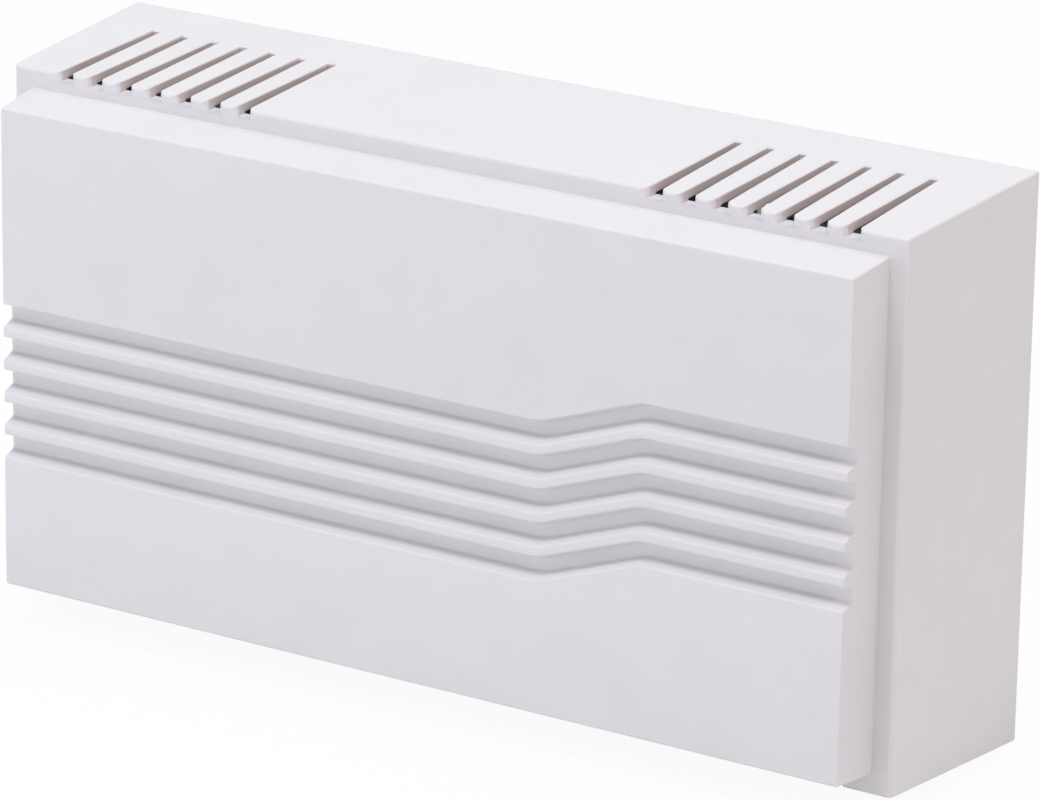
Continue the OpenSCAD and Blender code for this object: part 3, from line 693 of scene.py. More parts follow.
def seat_recipe() -> Recipe:
    """Write the tree that sets copies of one small piece on points, each turned by its own angle.

    Returns:
        The tree.
    """
    tree = Recipe("seated_copies", {
        "Geometry": "Geometry", "Piece": "Object", "Rotation": "Rotation", "Spin": "Float", "Seed": "Int"})
    sizes = tree.sizes
    piece = tree.node("GeometryNodeObjectInfo", {"Object": sizes["Piece"], "As Instance": True})
    copies = tree.add("GeometryNodeInstanceOnPoints", {
        "Points": sizes["Geometry"], "Instance": piece.outputs["Geometry"], "Rotation": sizes["Rotation"]})
    chance = tree.node("FunctionNodeRandomValue", {
        3: sizes["Spin"], "Seed": sizes["Seed"]}, data_type="FLOAT")
    spun = tree.add("GeometryNodeRotateInstances", {
        "Instances": copies, "Local Space": True, "Rotation": tree.vector(Z=chance.outputs[1])})
    return tree.end(spun)


VENTS = vent_recipe()
COIL = coil_recipe()
SHEATH = sheath_recipe()
SEATS = seat_recipe()


def seated(name: str, part: Object, places: Iterable[Point], turn: Point, finish: Finish,
           seed: int) -> Object:
    """Set copies of a small piece on their seats, and throw the pattern piece away.

    Args:
        name: The name of the set.
        part: The pattern piece, with its seat at the origin and its axis along Z.
        places: The seats.
        turn: The rotation that turns Z to the seats' axis.
        finish: What the set is made of.
        seed: What the copies' own turns are drawn from.

    Returns:
        The set, as one mesh.
    """
    inputs = {"Piece": part, "Rotation": turn, "Spin": math.pi / 2, "Seed": seed}
    piece = SEATS.grown(name, finish, inputs, from_lines(name, places))
    bpy.data.objects.remove(part)
    return piece


@dataclass(frozen=True)
class PanScrew:
    """A screw with a domed pan head and a crossed recess.

    A share is a part of the size that it goes with. The recess has its height, as a share of the head's,
    and its width, as a share of the arms', at its foot and at its mouth.
    """

    head_diameter: float
    head_height: float
    shank_diameter: float
    shank_length: float
    thread_pitch: float = 0.6 * MM
    thread_depth: float = 0.25 * MM
    tip_share: float = 0.7
    foot_share: float = 0.12
    edge_share: float = 0.35
    crown_share: float = 0.72
    arm_share: float = 0.3
    arm_width_share: float = 0.07
    recess_foot: tuple[float, float] = (0.38, 0.55)
    recess_mouth: tuple[float, float] = (1.2, 1.05)
    sides: int = 40
    dome_steps: int = 6

    def pattern(self) -> Object:
        """Make one screw, with the seat of its head at the origin and its head up.

        Returns:
            The screw.
        """
        bm = bmesh.new()
        turned(bm, self._profile(), self.sides)
        return shaded(carved(from_bmesh("screw_pattern", bm), self._recess()))

    def _profile(self) -> list[tuple[float, float]]:
        """Work out the screw's outline.

        Returns:
            The height and radius of each point from the tip to the top of the head.
        """
        shank, head, tip = self.shank_diameter / 2, self.head_diameter / 2, -self.shank_length
        root = shank - self.thread_depth
        turns = int((self.shank_length - self.thread_pitch) / self.thread_pitch)
        thread = []
        for i in range(turns):
            start = tip + (i + 0.5) * self.thread_pitch
            thread += [(start, root), (start + 0.5 * self.thread_pitch, shank)]
        edge, foot = self.edge_share * self.head_height, self.foot_share * self.head_height
        dome = []
        for k in range(self.dome_steps + 1):
            angle = math.pi / 2 * k / self.dome_steps
            share = self.crown_share + (1 - self.crown_share) * math.cos(angle)
            dome.append((edge + (self.head_height - edge) * math.sin(angle), head * share))
        return [(tip, 0.0), (tip, self.tip_share * root), *thread, (0.0, root),
                (0.0, head - foot), (foot, head), *dome, (self.head_height, 0.0)]

    def _recess(self) -> Object:
        """Make the crossed driver point that cuts the recess.

        Returns:
            The driver point.
        """
        bm = bmesh.new()
        reach, width = self.arm_share * self.head_diameter, self.arm_width_share * self.head_diameter
        arm = [Vector(p) for p in ((width, reach), (width, width), (reach, width))]
        turns = [Matrix.Rotation(-k * math.pi / 2, 2) for k in range(4)]
        cross = [turn @ point for turn in turns for point in arm]
        rings = []
        for height, share in (self.recess_foot, self.recess_mouth):
            rings.append([bm.verts.new((*(p * share), height * self.head_height)) for p in cross])
            bm.faces.new(rings[-1])
        for k in range(len(cross)):
            bm.faces.new((rings[0][k - 1], rings[0][k], rings[1][k], rings[1][k - 1]))
        bmesh.ops.recalc_face_normals(bm, faces=bm.faces)
        return from_bmesh("driver_point", bm)


class Assembly(ABC):
    """A group of pieces that come apart on the bench together."""

    @abstractmethod
    def build(self) -> list[Object]:
        """Make, dress and place every piece of the group, and return them."""


@dataclass(frozen=True)
class Taper:
    """A block that leans in, by its depth, half width and half height at its rear and at its front."""

    rear: tuple[float, float, float]
    front: tuple[float, float, float]

    def half(self, depth: float, inset: float = 0.0) -> tuple[float, float]:
        """Measure the block at a depth.

        Args:
            depth: How far from the wall.
            inset: How far inside the block's faces.

        Returns:
            The half width and the half height.
        """
        share = (depth - self.rear[0]) / (self.front[0] - self.rear[0])
        width, height = (a + share * (b - a) - inset for a, b in zip(self.rear[1:], self.front[1:]))
        return width, height


@dataclass(frozen=True)
class Row:
    """A line across the panel: its height, its depth and whether it follows the wave of the grooves."""

    height: float
    depth: float
    wavy: bool = False


def rounded_bend(before: Vector, bend: Vector, after: Vector, radius: float, steps: int) -> list[Vector]:
    """Lay points on the arc that rounds a bend between two straight lines.

    Args:
        before: A point on the first line.
        bend: Where the lines meet.
        after: A point on the second line.
        radius: The arc's radius.
        steps: Stretches along the arc.

    Returns:
        The points, from the first line to the second.
    """
    way_in, way_out = (before - bend).normalized(), (after - bend).normalized()
    half = way_in.angle(way_out) / 2
    centre = bend + (way_in + way_out).normalized() * radius / math.sin(half)
    start = bend + way_in * radius / math.tan(half) - centre
    end = bend + way_out * radius / math.tan(half) - centre
    return [centre + start.slerp(end, k / steps) * radius for k in range(steps + 1)]


@dataclass
class Cover(Assembly):
    """The moulded cover: a leaning casing with a raised, grooved panel and groups of vent slots."""

    # Casing and panel
    shoulder_depth: float = 44.3 * MM
    casing_draft: float = 2.5 * MM
    ledge: float = 4.0 * MM
    panel_draft: float = 0.9 * MM
    top_lift: float = 0.4 * MM
    wall: float = 2.0 * MM
    shoulder_wall: float = 3.3 * MM
    # Grooves, from the upper brow over the coves to the lower lip, and their wave
    groove_count: int = 5
    groove_width: float = 4.65 * MM
    ridge_width: float = 1.94 * MM
    groove_depth: float = 3.1 * MM
    groove_floor: float = 1.8 * MM
    groove_height: float = -6.5 * MM
    upper_draft: float = 0.95 * MM
    lower_draft: float = 1.05 * MM
    brow_radius: float = 0.4 * MM
    cove_radius: float = 0.5 * MM
    lip_radius: float = 0.5 * MM
    groove_steps: int = 5
    wave_rise: float = 7.72 * MM
    wave_start: float = 28.2 * MM
    wave_length: float = 21.6 * MM
    bend_radius: float = 12.0 * MM
    bend_steps: int = 12
    # Vent slots
    vent_count: int = 7
    vent_pitch: float = 6.8 * MM
    vent_place: float = 65.3 * MM
    vent_front_width: float = 2.85 * MM
    vent_rear_width: float = 1.7 * MM
    vent_start: float = 14.0 * MM
    # Ribs inside
    rib_height: float = 38.0 * MM
    rib_thickness: float = 2.0 * MM
    rib_reach: float = 6.0 * MM
    rib_start: float = 8.05 * MM
    # Rounding of the other edges
    shoulder_radius: float = 0.9 * MM
    outline_radius: float = 0.5 * MM
    end_radius: float = 0.22 * MM
    slot_radius: float = 0.3 * MM
    notch_radius: float = 1.6 * MM
    sill_radius: float = 0.4 * MM
    rim_radius: float = 0.4 * MM
    edge_steps: int = 4
    # Worked out from the solid
    rim_depth: float = field(init=False)
    front_depth: float = field(init=False)
    groove_bottom: float = field(init=False)
    groove_pitch: float = field(init=False)
    casing: Taper = field(init=False)
    panel: Taper = field(init=False)

    def __post_init__(self) -> None:
        """Work the leaning blocks out from the solid cover's box."""
        low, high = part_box("cover")
        self.rim_depth, self.front_depth = -high[1], -low[1]
        width, height = high[0], high[2]
        inset = self.casing_draft + self.ledge
        lean = inset + self.panel_draft
        self.casing = Taper((self.rim_depth, width, height),
                            (self.shoulder_depth, width - self.casing_draft, height - self.casing_draft))
        self.panel = Taper((self.shoulder_depth, width - inset, height - inset),
                           (self.front_depth, width - lean, height - lean))
        self.groove_bottom = self.front_depth - self.groove_depth
        self.groove_pitch = self.groove_width + self.ridge_width

    def build(self) -> list[Object]:
        """Make the shell, cut its slots, add its ribs and round its edges.

        Returns:
            The cover.
        """
        bm = bmesh.new()
        outer = self._add_skin(bm, self.shoulder_depth, self._outer_rows(), 0.0, Skin.OUTSIDE)
        inner_shoulder = self.shoulder_depth - self.shoulder_wall
        inner = self._add_skin(bm, inner_shoulder, self._inner_rows(), self.wall, Skin.INSIDE)
        for k in range(4):
            rim = bm.faces.new((outer[k], outer[k - 1], inner[k - 1], inner[k]))
            rim.material_index = Skin.INSIDE.value
        bmesh.ops.recalc_face_normals(bm, faces=bm.faces)
        shell = self._marked(from_bmesh("cover_moulding", bm))
        carved(shell, self._slots())
        carved(shell, self._marked(self._ribs(), Skin.INSIDE), "UNION")
        self._round(shell)
        return [stands_for(shell, "cover")]

    def _marked(self, piece: Object, skin: Skin | None = None) -> Object:
        """Give a piece the finish of each skin, and mark its faces as one skin if one is named.

        Args:
            piece: The piece that is changed.
            skin: What all its faces belong to.

        Returns:
            The same piece.
        """
        piece.data.materials.clear()
        for kind in Skin:
            # The slots' walls get the ABS copy with pink-tan painted shade, and every other skin gets the
            # plain ABS
            finish = SLOT_WALL_PAINTED_SHADE if kind is Skin.SLOT else COVER_ABS
            piece.data.materials.append(finish.material())
        if skin is not None:
            piece.data.polygons.foreach_set("material_index", [skin.value] * len(piece.data.polygons))
        return piece

    def _line(self) -> list[Vector]:
        """Lay the wave that the grooves follow.

        Returns:
            Its points, as x and rise.
        """
        reach, top = self.casing.rear[1], self.wave_start + self.wave_length
        points = [Vector((-reach, 0)), Vector((self.wave_start, 0)),
                  Vector((top, self.wave_rise)), Vector((reach, self.wave_rise))]
        first, second = (rounded_bend(*points[k:k + 3], self.bend_radius, self.bend_steps) for k in (0, 1))
        return [points[0], *first, *second, points[3]]

    def _outer_rows(self) -> list[Row]:
        """Lay the lines of the panel's outside.

        Returns:
            The lines, from the panel's upper foot to its lower foot.
        """
        foot = self.panel.half(self.shoulder_depth)[1]
        edge = self.panel.half(self.front_depth)[1]
        rows = [Row(foot + self.top_lift, self.shoulder_depth), Row(edge, self.front_depth)]
        for k in range(self.groove_count):
            rows += self._groove(self.groove_height + ((self.groove_count - 1) / 2 - k) * self.groove_pitch)
        return rows + [Row(-edge, self.front_depth), Row(-foot, self.shoulder_depth)]

    def _groove(self, middle: float) -> list[Row]:
        """Lay the lines of one groove.

        Args:
            middle: The groove's height.

        Returns:
            The lines, from its upper lip over its two coves to its lower lip.
        """
        half, front, back = self.groove_width / 2, self.front_depth, self.groove_bottom
        section = [Vector(p) for p in (
            (half + self.ridge_width, front), (half, front), (half - self.upper_draft, back),
            (self.lower_draft - half, back), (-half, front), (-half - self.ridge_width, front))]
        rows = []
        for k, radius in enumerate((self.brow_radius, self.cove_radius, self.cove_radius, self.lip_radius)):
            arc = rounded_bend(*section[k:k + 3], radius, self.groove_steps)
            rows += [Row(middle + point.x, point.y, True) for point in arc]
        return rows

    def _inner_rows(self) -> list[Row]:
        """Lay the lines of the panel's inside, which stands in behind the grooves.

        Returns:
            The lines, from the panel's upper foot to its lower foot.
        """
        rear, front = self.shoulder_depth - self.shoulder_wall, self.front_depth - self.wall
        foot, edge = (self.panel.half(depth, self.wall)[1] for depth in (rear, front))
        backing = self.groove_bottom - self.groove_floor
        half = (self.groove_count * self.groove_pitch - self.ridge_width) / 2 + self.wall
        top, bottom = self.groove_height + half, self.groove_height - half
        return [Row(foot + self.top_lift, rear), Row(edge, front),
                Row(top, front, True), Row(top, backing, True),
                Row(bottom, backing, True), Row(bottom, front, True),
                Row(-edge, front), Row(-foot, rear)]

    def _add_skin(self, bm: BMesh, shoulder: float, rows: list[Row], inset: float,
                  skin: Skin) -> list[BMVert]:
        """Add the outside or the inside of the shell.

        Args:
            bm: The bmesh that takes the faces.
            shoulder: The depth of the shoulder.
            rows: The lines of the panel, from its upper foot to its lower foot.
            inset: How far the skin lies inside the outside.
            skin: How the faces are marked.

        Returns:
            The corners of the rear rim.
        """
        def corners(depth: float) -> list[BMVert]:
            """Add the four corners of the casing at a depth."""
            x, z = self.casing.half(depth, inset)
            top = z + self.top_lift * (depth - self.rim_depth) / (self.shoulder_depth - self.rim_depth)
            return [bm.verts.new((a, -depth, b)) for a, b in ((-x, top), (x, top), (x, -z), (-x, -z))]

        line = self._line()
        last = len(line) - 1
        rim, edge = corners(self.rim_depth), corners(shoulder)
        seam = [bm.verts.new((line[1].x, v.co.y, v.co.z)) for v in (edge[0], edge[2])]
        grid = []
        for i, spot in enumerate(line):
            column = []
            for row in rows:
                reach = self.panel.half(row.depth, inset)[0]
                x = {0: -reach, last: reach}.get(i, spot.x)
                column.append(bm.verts.new((x, -row.depth, row.height + (spot.y if row.wavy else 0.0))))
            grid.append(column)
        left, rest = grid[0], grid[1:]
        foot = [*(c[-1] for c in rest), *(c[0] for c in reversed(rest))]
        loops = [(rim[0], rim[1], edge[1], seam[0], edge[0]), (rim[1], rim[2], edge[2], edge[1]),
                 (rim[2], rim[3], edge[3], seam[1], edge[2]), (rim[3], rim[0], edge[0], edge[3]),
                 left, grid[last],
                 (edge[3], edge[0], seam[0], rest[0][0], left[0], left[-1], rest[0][-1], seam[1]),
                 (seam[0], edge[1], edge[2], seam[1], *foot)]
        for a, b in zip(grid, rest):
            loops += [(a[j], b[j], b[j + 1], a[j + 1]) for j in range(len(rows) - 1)]
        for loop in loops:
            bm.faces.new(loop).material_index = skin.value
        return rim

    def _slots(self) -> Object:
        """Make the cutters of all vent slots, which open through the shoulder.

        Returns:
            The cutters, as one mesh.
        """
        shoulder_top = self.casing.half(self.shoulder_depth)[1]
        cutters = VENTS.grown("vent_cutters", COVER_ABS, {
            "Count": self.vent_count, "Pitch": self.vent_pitch, "Place": self.vent_place,
            "Front Width": self.vent_front_width, "Rear Width": self.vent_rear_width,
            "Front": -self.shoulder_depth - self.wall, "Rear": -self.vent_start,
            "Bottom": shoulder_top - self.wall, "Top": shoulder_top + 2 * self.wall})
        for vertex in cutters.data.vertices:
            # The upper cutters rise with the casing's top
            if vertex.co.z > 0:
                vertex.co.z += self.top_lift
        # The cutters' walls become the slots' walls, which carry the pink-tan painted shade; their flat
        # faces become sills of plain ABS
        self._marked(cutters, Skin.SLOT)
        for face in cutters.data.polygons:
            if abs(face.normal.x) < abs(face.normal.z):
                face.material_index = Skin.SILL.value
        return cutters

    def _ribs(self) -> Object:
        """Make the four ribs that stop the cover on the base plate's rim.

        Returns:
            The ribs, as one mesh.
        """
        bm = bmesh.new()
        end = self.shoulder_depth - self.wall / 2
        inner = self.casing.half(self.shoulder_depth, self.wall)[0] - self.rib_reach
        for side in (-1, 1):
            for height in (-self.rib_height, self.rib_height):
                block = []
                for depth in (self.rib_start, end):
                    outer = self.casing.half(depth, self.wall / 2)[0]
                    block += [bm.verts.new((side * x, -depth, height + up * self.rib_thickness / 2))
                              for x in (inner, outer) for up in (-1, 1)]
                bmesh.ops.convex_hull(bm, input=block)
        return from_bmesh("stop_ribs", bm)

    def _radius(self, edge: BMEdge) -> float:
        """Choose the radius that an edge of the shell is rounded to.

        Args:
            edge: The edge.

        Returns:
            The radius, or zero where the edge stays sharp.
        """
        if len(edge.link_faces) != 2 or not edge.is_convex or edge.calc_face_angle() < CORNER:
            return 0.0
        marks = {Skin(face.material_index) for face in edge.link_faces}
        depths = [-v.co.y for v in edge.verts]
        if Skin.OUTSIDE in marks and marks & {Skin.SLOT, Skin.SILL}:
            if min(depths) <= self.shoulder_depth - MERGE:
                return self.slot_radius
            return self.sill_radius if Skin.SILL in marks else self.notch_radius
        if marks == {Skin.OUTSIDE, Skin.INSIDE}:
            return self.rim_radius
        if marks != {Skin.OUTSIDE}:
            return 0.0
        if all(abs(depth - self.shoulder_depth) < MERGE for depth in depths):
            return self.shoulder_radius
        # The ends of grooves lie in front, and clear of the panel's top and bottom edges
        level = self.panel.half(self.front_depth)[1] - MERGE
        in_front = min(depths) > self.groove_bottom - MERGE
        if in_front and any(abs(v.co.z) < level for v in edge.verts):
            return self.end_radius
        return self.outline_radius

    def _round(self, shell: Object) -> None:
        """Round the shell's outer edges, each to its own radius.

        Args:
            shell: The cover with its slots and ribs.
        """
        bm = bmesh.new()
        bm.from_mesh(shell.data)
        weight = bm.edges.layers.float.new("bevel_weight_edge")
        for edge in bm.edges:
            radius = self._radius(edge)
            edge[weight] = radius / self.notch_radius
            edge.smooth = radius > 0 or len(edge.link_faces) == 2 and edge.calc_face_angle() < CORNER
        for face in bm.faces:
            face.smooth = True
        bm.to_mesh(shell.data)
        bm.free()
        modified(shell, "BEVEL", limit_method="WEIGHT", width=self.notch_radius, segments=self.edge_steps,
                 profile=ROUND, use_clamp_overlap=False, harden_normals=True, material=Skin.OUTSIDE.value)


@dataclass
class BasePlate(Assembly):
    """The moulded plate that hangs on the wall and carries the works."""

    edge_radius: float = 0.3 * MM

    def build(self) -> list[Object]:
        """Round the moulding's edges."""
        return [eased("base_plate", BASE_ABS, self.edge_radius)]


@dataclass
class Terminals(Assembly):
    """The terminal block, with its brass plates, clamp washers and screws."""

    names: tuple[str, ...] = ("front", "common", "rear")
    block_radius: float = 0.3 * MM
    plate_radius: float = 0.12 * MM
    washer_radius: float = 0.2 * MM
    bay_pitch: float = 13.0 * MM
    head_seat: float = 16.3 * MM
    lug_reach: float = 24.5 * MM
    screw: PanScrew = PanScrew(7.0 * MM, 2.6 * MM, 3.5 * MM, 7.0 * MM)
    fixing: PanScrew = PanScrew(6.0 * MM, 2.2 * MM, 3.0 * MM, 8.0 * MM)
    fixing_seed: int = 11

    def build(self) -> list[Object]:
        """Finish the block and its plates, and set its screws.

        Returns:
            The pieces.
        """
        pieces = [eased("terminal_block", PHENOLIC, self.block_radius),
                  eased("terminal_plates", BRASS_STRIP, self.plate_radius)]
        low, high = box_of("common_terminal_screw")
        for k, name in enumerate(self.names):
            pieces.append(eased(f"{name}_clamp", ZINC_WASHER, self.washer_radius))
            place = ((k - 1) * self.bay_pitch, -self.head_seat, (low.z + high.z) / 2)
            screw = seated(
                f"{name}_screw_brass", self.screw.pattern(), [place], FACING_ROOM, BRASS_TURNED, k)
            pieces.append(stands_for(screw, f"{name}_terminal_screw"))
        low, high = box_of("terminal_block_screws")
        seat = low.y + self.fixing.head_height
        places = [(side * self.lug_reach, seat, (low.z + high.z) / 2) for side in (-1, 1)]
        fixings = seated(
            "terminal_block_fixings", self.fixing.pattern(), places, FACING_ROOM, ZINC_SCREW,
            self.fixing_seed)
        return pieces + [stands_for(fixings, "terminal_block_screws")]


@dataclass
class Solenoid(Assembly):
    """One solenoid: its frame, bobbin and winding, and the plunger with its strikers and spring."""

    door: Door
    wire: float = 0.5 * MM
    wire_pitch: float = 0.52 * MM
    wire_steps: int = 36
    wire_sides: int = 6
    core_inset: float = 0.375 * MM
    core_sides: int = 48
    bore: float = 11.5 * MM
    spring_wire: float = 0.8 * MM
    spring_curls: float = 8.0
    spring_crowding: float = 0.45
    spring_steps: int = 32
    spring_sides: int = 10
    solids: tuple[tuple[str, Finish, float], ...] = (
        ("coil_frame", STEEL_STRIP, 0.25 * MM),
        ("coil_bobbin", NYLON_NATURAL, 0.3 * MM),
        ("plunger_core", STEEL_TURNED, 0.45 * MM),
        ("striker_left", NYLON_WHITE, 0.25 * MM),
        ("striker_right", NYLON_WHITE, 0.25 * MM),
        ("spring_collar", NYLON_WHITE, 0.35 * MM),
        ("spring_clip", STEEL_PHOSPHATED, 0.12 * MM),
    )

    def build(self) -> list[Object]:
        """Finish the solids, each with the radius of its edges, and wind the wire.

        Returns:
            The pieces.
        """
        door = self.door.value
        pieces = [eased(f"{door}_{node}", finish, radius) for node, finish, radius in self.solids]
        return pieces + [self._winding(), self._spring()]

    def _winding(self) -> Object:
        """Wind the outer layer of copper over a plain core.

        Returns:
            The winding.
        """
        node = f"{self.door.value}_coil_winding"
        low, high = box_of(node)
        middle = (low + high) / 2
        outer = (high.z - low.z) / 2
        length = high.x - low.x
        run = length - self.wire
        piece = COIL.grown(f"{node}_turns", COPPER_ENAMELLED, {
            "Turns": run / self.wire_pitch, "Steps": self.wire_steps, "Sides": self.wire_sides,
            "Radius": outer - self.wire / 2, "Length": run, "Wire": self.wire, "Crowding": 0.0,
            "Start": (high.x - self.wire / 2, middle.y, middle.z)})
        bm = bmesh.new()
        bm.from_mesh(piece.data)
        before = set(bm.verts)
        core, bore, end = outer - self.core_inset, self.bore / 2, length / 2
        turned(bm, [(-end, bore), (-end, core), (end, core), (end, bore), (-end, bore)], self.core_sides)
        sleeve = [v for v in bm.verts if v not in before]
        laid = Matrix.Translation(middle) @ Matrix.Rotation(math.pi / 2, 4, "Y")
        bmesh.ops.transform(bm, matrix=laid, verts=sleeve)
        bmesh.ops.remove_doubles(bm, verts=sleeve, dist=MERGE)
        bm.to_mesh(piece.data)
        bm.free()
        return stands_for(dressed(shaded(piece), COPPER_ENAMELLED), node)

    def _spring(self) -> Object:
        """Wind the return spring in place of its solid, with its turns closer at the ends.

        Returns:
            The spring.
        """
        node = f"{self.door.value}_spring"
        low, high = box_of(node)
        middle = (low + high) / 2
        piece = COIL.grown(f"{node}_wound", STEEL_WIRE, {
            "Turns": self.spring_curls, "Steps": self.spring_steps, "Sides": self.spring_sides,
            "Radius": (high.z - low.z - self.spring_wire) / 2, "Length": high.x - low.x - self.spring_wire,
            "Wire": self.spring_wire, "Crowding": self.spring_crowding,
            "Start": (high.x - self.spring_wire / 2, middle.y, middle.z)})
        shaded(piece)
        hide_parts(node)
        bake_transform(piece)
        return piece


@dataclass
class CoilFixings(Assembly):
    """The screws that hold the solenoids' frames, and the felt pad that stops the rear plunger."""

    ear_reach: float = 14.0 * MM
    ear_height: float = 27.0 * MM
    screw: PanScrew = PanScrew(6.0 * MM, 2.2 * MM, 3.0 * MM, 8.0 * MM)
    screw_seed: int = 23
    pad_cuts: int = 3
    pad_levels: int = 3
    fuzz: float = 0.12 * MM
    fuzz_size: float = 0.6 * MM

    def build(self) -> list[Object]:
        """Set the screws and make the pad.

        Returns:
            The pieces.
        """
        low, _ = box_of("coil_frame_screws")
        seat = low.y + self.screw.head_height
        places = [(x, seat, z) for x in (-self.ear_reach, self.ear_reach)
                  for z in (-self.ear_height, self.ear_height)]
        screws = seated(
            "coil_frame_fixings", self.screw.pattern(), places, FACING_ROOM, ZINC_SCREW, self.screw_seed)
        return [stands_for(screws, "coil_frame_screws"), self._pad()]

    def _pad(self) -> Object:
        """Make the felt pad, with soft edges and a fuzzy skin.

        Returns:
            The pad.
        """
        low, high = box_of("rear_return_pad")
        bm = bmesh.new()
        bmesh.ops.create_cube(bm, size=1.0)
        bmesh.ops.subdivide_edges(bm, edges=bm.edges, cuts=self.pad_cuts, use_grid_fill=True)
        placed = Matrix.Translation((low + high) / 2) @ Matrix.Diagonal((*(high - low), 1.0))
        bmesh.ops.transform(bm, verts=bm.verts, matrix=placed)
        pad = modified(from_bmesh("rear_return_pad_felt", bm), "SUBSURF", levels=self.pad_levels,
                       render_levels=self.pad_levels)
        for vertex in pad.data.vertices:
            pull = 0.5 + 0.5 * noise.noise(vertex.co / self.fuzz_size)
            vertex.co -= vertex.normal * self.fuzz * pull
        pad.data.shade_smooth()
        return stands_for(dressed(pad, FELT), "rear_return_pad")


@dataclass
class ToneBar(Assembly):
    """One tone bar, hung on two rubber grommets."""

    note: Note
    bar_radius: float = 0.4 * MM
    grommet_radius: float = 0.6 * MM
    grommet_steps: int = 4
    head_reach: float = 62.5 * MM
    screw: PanScrew = PanScrew(7.0 * MM, 2.4 * MM, 3.9 * MM, 15.0 * MM)
    middle_seed: int = 31

    def build(self) -> list[Object]:
        """Finish the bar and its grommets, and set its screws.

        Returns:
            The pieces.
        """
        name, side = self.note.name.lower(), self.note.value
        low, high = box_of(f"{name}_bar_screws")
        reach = (high.z - low.z - self.screw.head_diameter) / 2
        places = [(side * self.head_reach, (low.y + high.y) / 2, height) for height in (-reach, reach)]
        turn = (0.0, -side * math.pi / 2, 0.0)
        screws = seated(
            f"{name}_bar_fixings", self.screw.pattern(), places, turn, ZINC_SCREW, self.middle_seed + side)
        return [
            eased(f"{name}_tone_bar", BAR_NICKEL, self.bar_radius),
            eased(f"{name}_bar_grommets", RUBBER, self.grommet_radius, self.grommet_steps),
            stands_for(screws, f"{name}_bar_screws")]


# Routes of the leads in millimetres, from coil to terminal, as points given one by one
LEADS: dict[str, tuple[Finish, list[Point]]] = {
    "front_lead": (PVC_RED, [
        (-21.2, -18, 22.5), (-21.2, -18, 24.5), (-20.6, -15.5, 28), (-18.4, -11, 31), (-15, -9, 32.4),
        (-13, -10.6, 32.2), (-13, -12.4, 32.2), (-13, -14, 32.2)]),
    "common_lead": (PVC_WHITE, [
        (21.2, -18, 22.5), (21.2, -18, 24.5), (20.4, -14, 29), (19.2, -9, 31), (16.5, -6.3, 32.3),
        (12, -5.6, 32.8), (6, -5.8, 33), (1.8, -7.2, 32.8), (0, -10, 32.2), (0, -12.4, 32.2),
        (0, -14, 32.2)]),
    "rear_lead": (PVC_BLUE, [
        (21.2, -18, -22.5), (21.2, -18, -24.5), (23.5, -15.5, -28), (28, -9.5, -28.5), (31.8, -5.5, -24),
        (32.5, -5, -12), (32.5, -5, 4), (32, -5, 18), (29.5, -6, 26), (24.5, -8, 31), (18.5, -9.6, 33.2),
        (14.6, -9.6, 33), (13, -10.8, 32.2), (13, -12.4, 32.2), (13, -14, 32.2)]),
    "coil_jumper": (PVC_WHITE, [
        (21.2, -18, -2.5), (21.2, -18, -1.5), (21.2, -18.4, 0), (21.2, -18, 1.5), (21.2, -18, 2.5)]),
}


@dataclass
class Wiring(Assembly):
    """The insulated leads between the coils and the terminals, with their soldered ends."""

    diameter: float = 1.2 * MM
    sides: int = 14
    steps: int = 8
    bead: float = 0.95 * MM
    bead_sides: int = 16
    bead_rings: int = 10
    ripple: float = 0.12
    bead_seed: int = 47

    def build(self) -> list[Object]:
        """Draw the leads along their routes, and solder their ends.

        Returns:
            The pieces.
        """
        pieces = []
        ends = []
        for node, (finish, route) in LEADS.items():
            points = [Vector(p) * MM for p in route]
            ends += [points[0], points[-1]]
            piece = SHEATH.grown(f"{node}_sheath", finish, {
                "Diameter": self.diameter, "Sides": self.sides, "Steps": self.steps,
            }, from_lines(node, points, joined=True))
            pieces.append(stands_for(shaded(piece), node))
        bm = bmesh.new()
        bmesh.ops.create_uvsphere(
            bm, u_segments=self.bead_sides, v_segments=self.bead_rings, radius=self.bead)
        for vertex in bm.verts:
            vertex.co *= 1.0 + self.ripple * noise.noise(vertex.co / self.bead)
        drop = shaded(from_bmesh("solder_bead", bm))
        drops = seated("solder_joints", drop, ends, FACING_ROOM, SOLDER, self.bead_seed)
        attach(drops, BODY_OF["front_lead"])
        return pieces + [drops]


@dataclass(frozen=True)
class Softbox:
    """A square lamp that faces the chime."""

    name: str
    place: Point
    size: float
    power: float
    colour: str


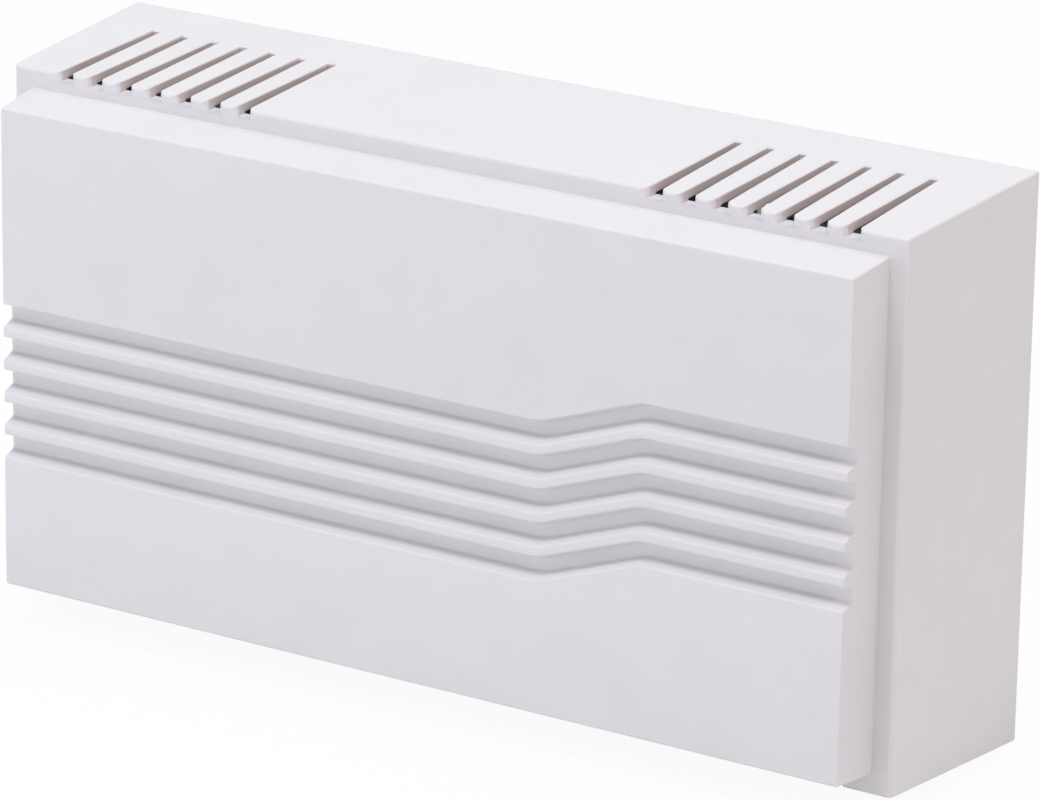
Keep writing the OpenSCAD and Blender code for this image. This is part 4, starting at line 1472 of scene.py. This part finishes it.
@dataclass
class Studio:
    """The white studio: its floor, lamps, world and camera.

    Angles are in degrees, the lens and its sensor in millimetres, and lamps in watts.
    """

    aim: Point = (-6.06 * MM, -6.68 * MM, -7.27 * MM)
    azimuth: float = 31.882
    elevation: float = 18.867
    roll: float = 0.917
    distance: float = 1.2159
    lens: float = 219.78
    sensor: float = 36.0
    fill: float = 0.38
    floor_size: float = 8.0
    floor_gap: float = 1.0 * MM
    floor_colour: str = "#F2F2F2"
    floor_glow: float = 0.94
    softboxes: tuple[Softbox, ...] = (
        Softbox("key_above", (-0.16, -0.61, 1.36), 0.4, 8.7, "#FFFEFF"),
        Softbox("top_behind", (0.18, 0.4, 1.42), 0.6, 5.2, "#EDFAFF"),
        Softbox("front_left", (-0.42, -0.7, 0.12), 0.5, 1.38, "#F0F4FF"),
        Softbox("right_warm", (1.12, -0.24, 0.96), 0.7, 5.5, "#FFEAE2"),
    )

    def build(self) -> None:
        """Set the camera and the light, and lay the floor."""
        scene = bpy.context.scene
        scene.view_settings.view_transform = "Standard"
        self._camera(scene)
        self._world(scene)
        for softbox in self.softboxes:
            self._lamp(softbox)
        self._floor()

    def _faced(self, piece: Object, place: Vector, roll: float = 0.0) -> None:
        """Put a lamp or a camera in its place, turned to face the chime.

        Args:
            piece: The lamp or camera.
            place: Where it goes.
            roll: Its turn about its own axis, in degrees.
        """
        level = (Vector(self.aim) - place).to_track_quat("-Z", "Y")
        piece.location = place
        piece.rotation_mode = "QUATERNION"
        piece.rotation_quaternion = level @ Quaternion((0, 0, 1), math.radians(roll))

    def _camera(self, scene: Scene) -> None:
        """Set the camera where the photograph was taken from.

        Args:
            scene: The scene that takes the camera.
        """
        turn, rise = math.radians(self.azimuth), math.radians(self.elevation)
        back = Vector((math.sin(turn) * math.cos(rise), -math.cos(turn) * math.cos(rise), math.sin(rise)))
        lens = bpy.data.cameras.new("photo_view")
        lens.lens = self.lens
        lens.sensor_width = self.sensor
        scene.camera = add_object("photo_view", lens)
        self._faced(scene.camera, Vector(self.aim) + back * self.distance, self.roll)

    def _lamp(self, softbox: Softbox) -> None:
        """Hang one softbox.

        Args:
            softbox: The lamp's place, size and light.
        """
        light = bpy.data.lights.new(softbox.name, "AREA")
        light.shape = "SQUARE"
        light.size = softbox.size
        light.energy = softbox.power
        light.color = linear(softbox.colour)[:3]
        self._faced(add_object(softbox.name, light), Vector(softbox.place))

    def _seen(self, graph: Graph) -> NodeSocket:
        """Tell where the eye, a reflection or a clear piece looks.

        Args:
            graph: The nodes that ask.

        Returns:
            A socket that is one there and zero elsewhere.
        """
        path = graph.node("ShaderNodeLightPath").outputs
        direct = graph.maths("MAXIMUM", path["Is Camera Ray"], path["Is Glossy Ray"])
        return graph.maths("MAXIMUM", direct, path["Is Transmission Ray"])

    def _world(self, scene: Scene) -> None:
        """Fill the shadows evenly, and show plain white behind the chime.

        Args:
            scene: The scene that takes the world.
        """
        scene.world = bpy.data.worlds.new("studio")
        graph = Graph.within(scene.world)
        fill, white = (graph.add("ShaderNodeBackground", {"Color": linear(WHITE), "Strength": strength})
                       for strength in (self.fill, 1.0))
        mixed = graph.add("ShaderNodeMixShader", {0: self._seen(graph), 1: fill, 2: white})
        graph.node("ShaderNodeOutputWorld", {"Surface": mixed})

    def _floor(self) -> None:
        """Lay the pale floor, which looks white, keeps a faint shadow and is clear from below."""
        material = bpy.data.materials.new("floor_white")
        graph = Graph.within(material)
        matt = graph.add("ShaderNodeBsdfDiffuse", {"Color": linear(self.floor_colour)})
        glow = graph.add("ShaderNodeEmission", {"Color": linear(WHITE), "Strength": 1.0})
        share = graph.maths("MULTIPLY", self._seen(graph), self.floor_glow)
        top = graph.add("ShaderNodeMixShader", {0: share, 1: matt, 2: glow})
        below = graph.node("ShaderNodeNewGeometry").outputs["Backfacing"]
        clear = graph.add("ShaderNodeBsdfTransparent")
        mixed = graph.add("ShaderNodeMixShader", {0: below, 1: top, 2: clear})
        graph.node("ShaderNodeOutputMaterial", {"Surface": mixed})
        bm = bmesh.new()
        bmesh.ops.create_grid(bm, x_segments=1, y_segments=1, size=self.floor_size / 2)
        bmesh.ops.translate(bm, verts=bm.verts, vec=(0, 0, CAD_BOX[0][2] - self.floor_gap))
        floor = from_bmesh("studio_floor", bm)
        floor.data.materials.append(material)


def main() -> None:
    """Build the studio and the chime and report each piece."""
    logging.basicConfig(level=logging.INFO, format="%(name)s: %(message)s")
    Studio().build()
    assemblies: list[Assembly] = [
        Wiring(), Cover(), BasePlate(), Terminals(), *(Solenoid(door) for door in Door), CoilFixings(),
        *(ToneBar(note) for note in Note)]
    for assembly in assemblies:
        for piece in assembly.build():
            LOG.info("%s: %s, %d faces", type(assembly).__name__, piece.name, len(piece.data.polygons))


if __name__ == "__main__":
    main()
